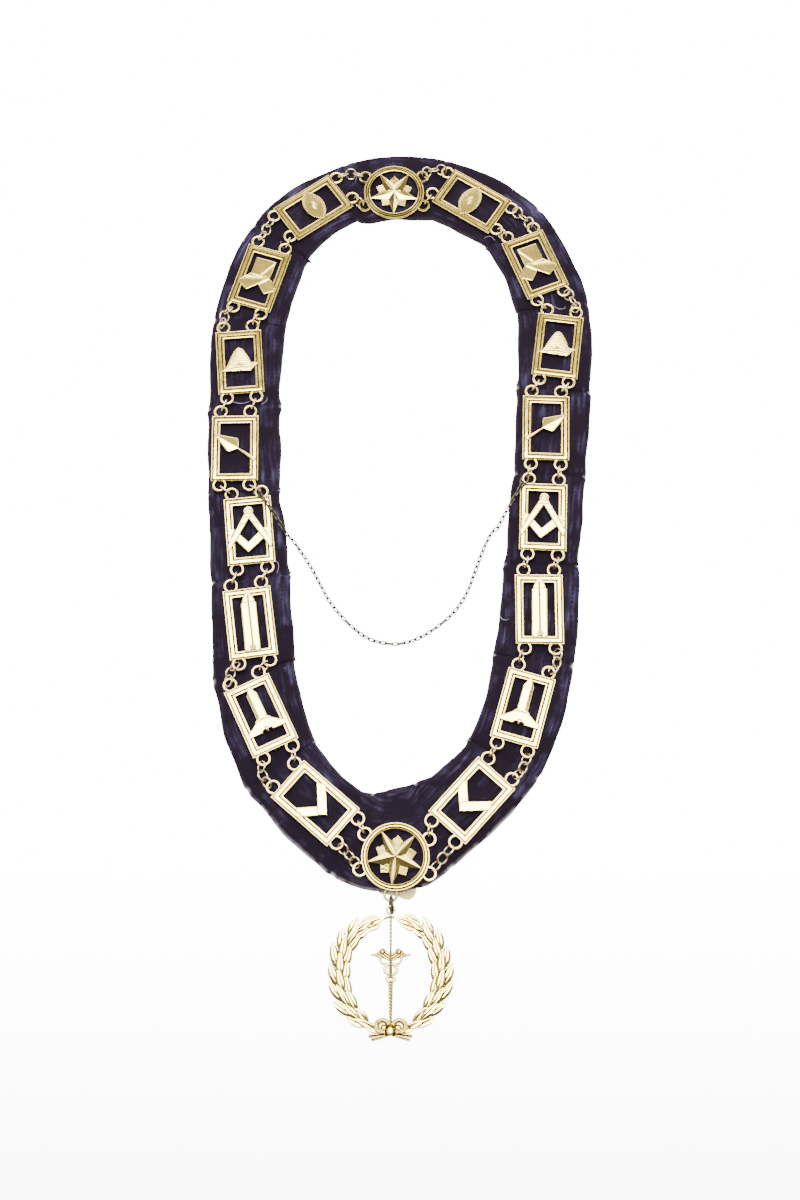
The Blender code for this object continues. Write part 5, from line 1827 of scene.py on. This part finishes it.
@dataclass
class Band:
    """The velvet band and its lining, laid out plaque by plaque as the metal on it is.

    Each row of a side's table holds the velvet's distances from the plaque's middle line at its
    start, middle and end and in the gap below, as shares of the breadth, first the inner edge and
    then the outer, and the height in the gap. A fan's row holds the outer and the inner end from
    the medallion's middle, in the same shares, then the height, which is gap_height at a crease,
    and the lining's show.

    The velvet keeps its clearance under the metal, its rolled edges are roll broad and edge_height
    high, its turned-under side is set in by inset, and its rows are pitch apart. The lining stops
    hem inside the velvet's edge.
    """

    breadth: float = 44.0
    thickness: float = 3.0
    base: float = 1.3
    foot: float = 0.3
    plaque: float = 43.0
    gap_height: float = 0.60
    clearance: float = 0.12
    roll: float = 4.2
    edge_height: float = 0.9
    inset: float = 0.55
    pitch: float = 1.05
    hem: float = 7.0
    across: int = 46
    under: int = 7
    sides: dict[Side, Table] = field(default_factory=lambda: {
        Side.LEFT: (
            (0.500, 0.475, 0.600, 0.620, 0.450, 0.505, 0.455, 0.460, 0.58),
            (0.552, 0.545, 0.570, 0.625, 0.480, 0.505, 0.475, 0.440, 0.60),
            (0.660, 0.590, 0.525, 0.600, 0.400, 0.440, 0.460, 0.450, 0.56),
            (0.607, 0.630, 0.615, 0.550, 0.400, 0.390, 0.375, 0.475, 0.62),
            (0.443, 0.490, 0.485, 0.565, 0.545, 0.555, 0.580, 0.530, 0.58),
            (0.585, 0.560, 0.540, 0.630, 0.490, 0.530, 0.560, 0.530, 0.56),
            (0.690, 0.580, 0.510, 0.550, 0.430, 0.545, 0.565, 0.570, 0.58),
            (0.590, 0.510, 0.560, 0.560, 0.489, 0.568, 0.560, 0.560, 0.60),
        ),
        Side.RIGHT: (
            (0.530, 0.480, 0.465, 0.485, 0.500, 0.590, 0.565, 0.570, 0.60),
            (0.505, 0.465, 0.520, 0.575, 0.535, 0.565, 0.555, 0.505, 0.58),
            (0.618, 0.555, 0.500, 0.480, 0.435, 0.510, 0.520, 0.580, 0.56),
            (0.405, 0.420, 0.420, 0.420, 0.640, 0.610, 0.570, 0.580, 0.60),
            (0.440, 0.470, 0.485, 0.500, 0.570, 0.550, 0.500, 0.540, 0.56),
            (0.475, 0.523, 0.590, 0.580, 0.565, 0.540, 0.500, 0.520, 0.58),
            (0.550, 0.510, 0.560, 0.560, 0.530, 0.555, 0.500, 0.510, 0.58),
            (0.555, 0.595, 0.700, 0.700, 0.475, 0.477, 0.425, 0.430, 0.60),
        ),
    })
    top_fan: Table = (
        (-0.715, 0.552, -0.532, -0.425, 0.60, 0.0), (-0.440, 0.628, -0.360, -0.445, 0.74, 0.0),
        (0.000, 0.690, 0.000, -0.384, 1.00, 0.0), (0.453, 0.670, 0.425, -0.395, 0.74, 0.0),
        (0.790, 0.615, 0.593, -0.380, 0.60, 0.0),
    )
    bottom_fan: Table = (
        (0.961, -0.085, 0.425, -1.045, 0.78, 0.0), (0.715, 0.140, 0.250, -0.980, 0.60, 0.0),
        (0.420, 0.345, 0.150, -0.945, 0.74, -0.13), (0.200, 0.400, 0.060, -0.920, 1.00, 0.105),
        (0.000, 0.440, -0.030, -0.900, 1.00, 0.045), (-0.420, 0.390, -0.150, -0.870, 0.74, 0.0),
        (-0.820, 0.232, -0.280, -0.850, 0.60, 0.0), (-1.030, 0.056, -0.455, -0.880, 0.78, 0.0),
    )

    def side_cuts(self, side: Side) -> list[Cut]:
        """The cuts along one side, from the top medallion down.

        Args:
            side: The side.

        Returns:
            Four cuts for each plaque, the last in the gap under it, and three for the lowest.
        """
        cuts = []
        seats = SEATS[side]
        for index, (seat, row) in enumerate(zip(seats, self.sides[side])):
            middle = middle_of(seat.node)
            down = -turned(seat.heading + 90.0)
            inward = turned(seat.heading) * -side.value
            places = [middle + down * share * self.plaque for share in (-0.5, 0.0, 0.5)]
            inwards = [inward] * 3
            if index + 1 == len(seats):
                places.pop()
            else:
                following = seats[index + 1]
                ahead = -turned(following.heading + 90.0)
                near = middle_of(following.node) - ahead * self.plaque / 2.0
                between = inward + turned(following.heading) * -side.value
                places.append((places[-1] + near) / 2.0)
                inwards.append(between / np.linalg.norm(between))
            heights = (0.78, 1.0, 0.78, row[8])
            for spot, (place, way) in enumerate(zip(places, inwards)):
                inner = place + way * row[spot] * self.breadth
                outer = place - way * row[4 + spot] * self.breadth
                cuts.append(Cut(inner, outer, heights[spot], 1.0 if spot == 3 else 0.0, 0.0))
        return cuts

    def fan_cuts(self, rows: Table, middle: Point, out: float) -> list[Cut]:
        """The cuts around one medallion.

        Args:
            rows: The fan's table.
            middle: The medallion's middle.
            out: 1 where the table's y goes up and -1 where it goes down.

        Returns:
            One cut for each row.
        """
        cuts = []
        for outer_x, outer_y, inner_x, inner_y, height, show in rows:
            outer = np.array(middle) + np.array((outer_x, outer_y * out)) * self.breadth
            inner = np.array(middle) + np.array((inner_x, inner_y * out)) * self.breadth
            crease = 1.0 if height == self.gap_height else 0.0
            cuts.append(Cut(inner, outer, height, crease, show))
        return cuts

    def stations(self) -> dict[str, Array]:
        """The cuts joined by smooth curves around the neck and spread evenly.

        Returns:
            Arrays by name: inner and outer edges, way from outer to inner, height, crease, show,
            travelled in millimetres, and line, the same as places on a straight line.
        """
        cuts = (
            *self.fan_cuts(self.top_fan, TOP.middle, 1.0),
            *self.side_cuts(Side.RIGHT),
            *self.fan_cuts(self.bottom_fan, BOTTOM.middle, -1.0),
            *reversed(self.side_cuts(Side.LEFT)),
        )
        rows = [(*cut.inner, *cut.outer, cut.height, cut.crease, cut.show) for cut in cuts]
        fine = curve_through(np.array(rows), 24, closed=True)
        looped = np.concatenate((fine, fine[:1]))
        travelled = distances_along((looped[:, :2] + looped[:, 2:4]) / 2.0)
        count = int(travelled[-1] / self.pitch)
        spots = np.arange(count) * travelled[-1] / count
        even = sampled(looped, travelled, spots)
        span = np.linalg.norm(even[:, :2] - even[:, 2:4], axis=1)
        return {
            "inner": even[:, :2],
            "outer": even[:, 2:4],
            "way": (even[:, :2] - even[:, 2:4]) / span[:, None],
            "height": np.clip(even[:, 4], 0.5, 1.05),
            "crease": np.clip(even[:, 5], 0.0, 1.0),
            "show": np.clip(even[:, 6], 0.0, 1.0),
            "travelled": spots,
            "line": np.stack((spots, np.zeros(count)), axis=-1),
        }

    def upper_side(self, made: dict[str, Array], outer: Array, span: Array) -> dict[str, Array]:
        """The velvet's upper side.

        The height over a cut is base + thickness * height * rolled, less a narrow crease in each
        gap, plus a fold beside each edge and a fine crush, held under the metal. rolled is
        1 - (1 - distance from the edge / roll) ^ 2.6.

        Args:
            made: The stations.
            outer: The velvet's outer edge.
            span: Its breadth at each station.

        Returns:
            Arrays by name: share of the way across, height, pile, which paints a highlight on
            the folds beside the edges and on the crush ridges, and worn.
        """
        travelled, nick = made["travelled"][:, None], self.nicks(made)[:, None]
        v = np.linspace(0.0, 1.0, self.across)[None, :]
        v = v - 0.06 * np.sin(2.0 * np.pi * v)
        from_edge = np.minimum(v, 1.0 - v) * span[:, None]
        flat = np.stack(np.broadcast_arrays(travelled, v * span[:, None]), axis=-1)
        rolled = 1.0 - np.clip(1.0 - from_edge / self.roll, 0.0, 1.0) ** 2.6
        margin = np.exp(-((from_edge - 4.6) / 2.6) ** 2)
        top = self.base + self.thickness * made["height"][:, None] * rolled
        top += 0.45 * margin * (0.6 + 0.5 * ripple(flat * np.array((0.22, 1.0)), 9.0, 8, 2))
        top -= 0.85 * nick * rolled
        shoulder = smooth_step(made["crease"], 0.35, 0.7)[:, None] * (1.0 - nick)
        top += 0.12 * shoulder * np.sin(v * 23.0 + 3.0 * ripple(made["line"], 30.0, 5)[:, None])
        crush = ripple(flat * np.array((0.45, 1.0)), 6.5, 9, 3)
        top += 0.16 * crush * rolled * (0.45 + 0.55 * margin)
        ceiling = METAL_BASE - self.clearance
        core = smooth_step(from_edge, 5.5, 8.0)
        top = np.where(top > ceiling, ceiling + (top - ceiling) * (1.0 - core), top)
        top = np.maximum(top, self.foot + rolled)
        near = np.exp(-(from_edge / 1.1) ** 2)
        outermost = np.exp(-(v * span[:, None]) ** 2)
        low_edge = smooth_step(-outer[:, 1], 125.0, 165.0)[:, None] * outermost
        return {
            "share": np.broadcast_to(v, top.shape),
            "height": np.where(from_edge < 0.001, self.edge_height, top),
            # painted highlight on the folds beside the edges and on the crush ridges
            "pile": 0.30 * margin + 0.25 * crush * rolled,
            "worn": 0.55 * nick * near + 0.03 * near + 0.45 * low_edge,
        }

    def under_side(self, made: dict[str, Array], span: Array) -> tuple[Array, Array]:
        """The velvet turned under: it rises from foot at its edges to base further in.

        Where the lining shows, all of it is raised.

        Args:
            made: The stations.
            span: The velvet's breadth at each station.

        Returns:
            Shares of the way across and heights.
        """
        below = np.linspace(1.0, 0.0, self.under)[None, :]
        from_foot = np.minimum(below, 1.0 - below) * span[:, None]
        floor = self.foot + (self.base - self.foot) * smooth_step(from_foot, 1.0, 6.0)
        raised = smooth_step(made["show"], 0.005, 0.02)[:, None]
        floor = floor + (self.base - floor) * raised
        inset = self.inset / span[:, None]
        return inset + below * (1.0 - 2.0 * inset), floor

    def nicks(self, made: dict[str, Array]) -> Array:
        """How far each station is in the narrow nick between two plaques."""
        return smooth_step(made["crease"], 0.93, 1.0)

    def velvet(self) -> None:
        """Make the padded band: each cut is a pad with rolled edges, folded and crushed."""
        made = self.stations()
        nick = self.nicks(made)
        inward = 0.28 * ripple(made["line"], 24.0, 3, 2) - 0.6 * nick
        outward = 0.28 * ripple(made["line"], 24.0, 4, 2) - 0.6 * nick
        inner = made["inner"] + made["way"] * inward[:, None]
        outer = made["outer"] - made["way"] * outward[:, None]
        span = np.linalg.norm(inner - outer, axis=1)
        upper = self.upper_side(made, outer, span)
        below, floor = self.under_side(made, span)
        share = np.concatenate((upper["share"], below), axis=1)
        top = np.maximum(upper["height"], floor[:, :1] + 0.5)
        height = np.concatenate((top, floor), axis=1)
        plan = outer[:, None, :] + (inner - outer)[:, None, :] * share[..., None]
        points = np.concatenate((plan, height[..., None]), axis=-1)
        unseen = np.zeros_like(floor)
        # pile carries the painted highlight on the folds.
        pile, worn = (np.concatenate((upper[key], unseen), axis=1) for key in ("pile", "worn"))
        surfaces = Surfaces()
        surfaces.grid(points, True, pile=pile, worn=worn)
        piece = surfaces.dress("velvet_band", VELVET, 80.0)
        self.lay_band_map(piece, share * span[:, None], made["travelled"][:, None])

    def lay_band_map(self, piece: bpy.types.Object, aside: Array, travelled: Array) -> None:
        """Give the band a UV map in metres: along the band and across it.

        Args:
            piece: The velvet.
            aside: Each point's distance from the outer edge, in millimetres.
            travelled: Each row's distance along the band.
        """
        mesh = piece.data
        values = np.stack(np.broadcast_arrays(travelled, aside), axis=-1).reshape(-1, 2) * MM
        corners = np.empty(len(mesh.loops), dtype=np.int64)
        mesh.loops.foreach_get("vertex_index", corners)
        layer = mesh.uv_layers.new(name="band")
        layer.data.foreach_set("uv", values[corners].reshape(-1).astype(np.float32))

    def lining(self) -> None:
        """Make the cotton sheet under the band, whose hem shows near the pendant.

        A place is share * inner edge + (1 - share) * outer edge, each moved in by its reach.
        """
        made = self.stations()
        shown = smooth_step(made["show"], 0.0, 0.02)
        reach = self.hem * (1.0 - shown) - made["show"] * self.breadth
        reach = reach + 0.3 * shown * ripple(made["line"], 7.0, 21)
        start = made["outer"] + made["way"] * reach[:, None]
        end = made["inner"] - made["way"] * self.hem
        columns = 12
        share = np.linspace(0.0, 1.0, columns)[None, :, None]
        plan = start[:, None, :] * (1.0 - share) + end[:, None, :] * share
        plan = np.concatenate((plan, plan[:, ::-1]), axis=1)
        upper, lower = np.full((len(start), columns), 0.95), np.zeros((len(start), columns))
        upper[:, [0, -1]] = 0.7
        lower[:, [0, -1]] = 0.2
        height = np.concatenate((upper, lower), axis=1)
        points = np.concatenate((plan, height[..., None]), axis=-1)
        surfaces = Surfaces()
        surfaces.grid(points, True)
        piece = surfaces.dress("lining", LINING, 50.0)


@dataclass
class LooseThreads:
    """Short curled ends of thread that have come away at some gaps.

    Each row is the place, the direction, the length and how much it curls.
    """

    radius: float = 0.14
    ends: Table = (
        (-104.0, 102.0, -30.0, 12.0, 1.4), (-86.0, 100.0, 10.0, 7.0, 2.0),
        (58.0, -35.5, -80.0, 8.0, 2.4), (41.0, -57.0, -40.0, 10.0, -2.2),
        (43.0, -28.0, 120.0, 7.0, -2.0), (-74.0, -10.0, 60.0, 11.0, 2.2),
        (83.0, 225.0, -30.0, 9.0, -2.0), (60.0, 214.0, 130.0, 8.0, 1.6),
        (96.0, 168.0, -60.0, 10.0, 2.4), (-24.0, 262.0, 190.0, 8.0, 1.5),
        (-76.0, 214.0, -110.0, 8.0, 2.1),
    )

    def build(self) -> None:
        """Make the threads: each bends steadily as it goes, and its middle lifts."""
        surfaces = Surfaces()
        share = np.linspace(0.0, 1.0, 22)
        height = 5.0 + 1.2 * np.sin(np.pi * share)
        for x, y, heading, length, curl in self.ends:
            turn = np.radians(heading) + curl * share**1.5
            step = length / len(share)
            east, north = np.cumsum(np.cos(turn)) * step, np.cumsum(np.sin(turn)) * step
            path = np.stack((x + east, y + north, height), axis=-1)
            surfaces.tubes(tube(path, self.radius * (1.0 - 0.4 * share), 5), False)
        surfaces.build("loose_threads", THREAD, 80.0)


# --- floor, lights and camera


@dataclass(frozen=True)
class Lamp:
    """A soft rectangular light that faces the collar, in metres and watts."""

    name: str
    place: Place
    size: Point
    power: float
    colour: Colour = (1.0, 0.99, 0.97)

    def hang(self) -> None:
        """Put the lamp in its place and turn it to the collar."""
        lamp = bpy.data.lights.new(self.name, "AREA")
        lamp.shape = "RECTANGLE"
        lamp.size, lamp.size_y = self.size
        lamp.energy = self.power
        lamp.color = self.colour
        holder = bpy.data.objects.new(self.name, lamp)
        bpy.context.scene.collection.objects.link(holder)
        holder.location = self.place
        x, y, z = self.place
        holder.rotation_euler = (math.atan2(math.hypot(x, y), z), 0.0, math.atan2(x, -y))


@dataclass
class Studio:
    """A pale floor under soft lights, seen from the photograph's place, in metres.

    The lamps are the bright panel that the lower plaques mirror, the far wall and three fills.
    surroundings is the faint light that comes from everywhere.
    """

    elevation: float = 72.05
    target: Place = (-0.0006, -0.0272, 0.007)
    distance: float = 0.943
    lens: float = 48.0
    sensor: float = 36.0
    floor_reach: float = 3.0
    floor_height: float = -0.0004
    sky: Colour = (0.95, 0.96, 1.0)
    surroundings: float = 0.18
    lamps: tuple[Lamp, ...] = (
        Lamp("panel", (0.0, 0.11, 1.4), (1.05, 1.07), 82.0),
        Lamp("far_wall", (0.2, 1.5, 0.9), (3.2, 0.95), 86.0),
        Lamp("far_fill", (0.0, 0.86, 1.32), (1.2, 0.48), 0.9, (1.0, 0.86, 0.60)),
        Lamp("side_left", (-1.1, 0.0, 0.5), (1.4, 0.6), 13.0),
        Lamp("side_right", (1.1, 0.0, 0.5), (1.4, 0.6), 10.0),
    )

    def floor(self) -> None:
        """Lay a wide sheet just under the collar."""
        mesh = bpy.data.meshes.new("floor")
        signs = ((-1, -1), (1, -1), (1, 1), (-1, 1))
        reach, height = self.floor_reach, self.floor_height
        corners = [(x * reach, y * reach, height) for x, y in signs]
        mesh.from_pydata(corners, [], [(0, 1, 2, 3)])
        mesh.materials.append(FLOOR.material())
        sheet = bpy.data.objects.new("floor", mesh)
        bpy.context.scene.collection.objects.link(sheet)

    def lights(self) -> None:
        """Hang the lamps and light the surroundings."""
        for lamp in self.lamps:
            lamp.hang()
        world = bpy.data.worlds.new("surroundings")
        world.use_nodes = True
        background = world.node_tree.nodes["Background"]
        background.inputs[0].default_value = (*self.sky, 1.0)
        background.inputs[1].default_value = self.surroundings
        bpy.context.scene.world = world

    def camera(self) -> None:
        """The camera on the -Y side, looking down at the collar's middle."""
        lens = bpy.data.cameras.new("view")
        lens.sensor_fit = "VERTICAL"
        lens.sensor_height = self.sensor
        lens.lens = self.lens
        holder = bpy.data.objects.new("view", lens)
        bpy.context.scene.collection.objects.link(holder)
        rise = math.radians(self.elevation)
        back, up = self.distance * math.cos(rise), self.distance * math.sin(rise)
        x, y, z = self.target
        holder.location = (x, y - back, z + up)
        holder.rotation_euler = (math.pi / 2.0 - rise, 0.0, 0.0)
        bpy.context.scene.camera = holder

    def build(self) -> None:
        """Set up the floor, the lights and the camera."""
        self.floor()
        self.lights()
        self.camera()


def main() -> None:
    """Build every piece of the collar and the studio around it."""
    logging.basicConfig(level=logging.INFO, format="%(name)s: %(message)s")
    Studio().build()
    band = Band()
    band.velvet()
    band.lining()
    TOP.build()
    BOTTOM.build()
    art = EmblemArt()
    for seats in SEATS.values():
        for seat in seats:
            Plaque(seat, art).build()
    counts = (3, 3, 3, 1, 1, 1, 3, 3, 3)
    JumpRings(
        Side.LEFT, counts, leans=(42, 46, 40, 35, 35, 35, 44, 40, 46),
        bows=(0.9, 0.8, 0.5, 0, 0, 0, 0.4, 0.7, -0.3)).build()
    JumpRings(
        Side.RIGHT, counts, leans=(40, 44, 46, 35, 35, 35, 42, 44, 40),
        bows=(0.8, 0.6, 0.5, 0, 0, 0, 0.5, 0.6, 0.4)).build()
    StayChain().build()
    Pendant().build()
    LooseThreads().build()


if __name__ == "__main__":
    main()
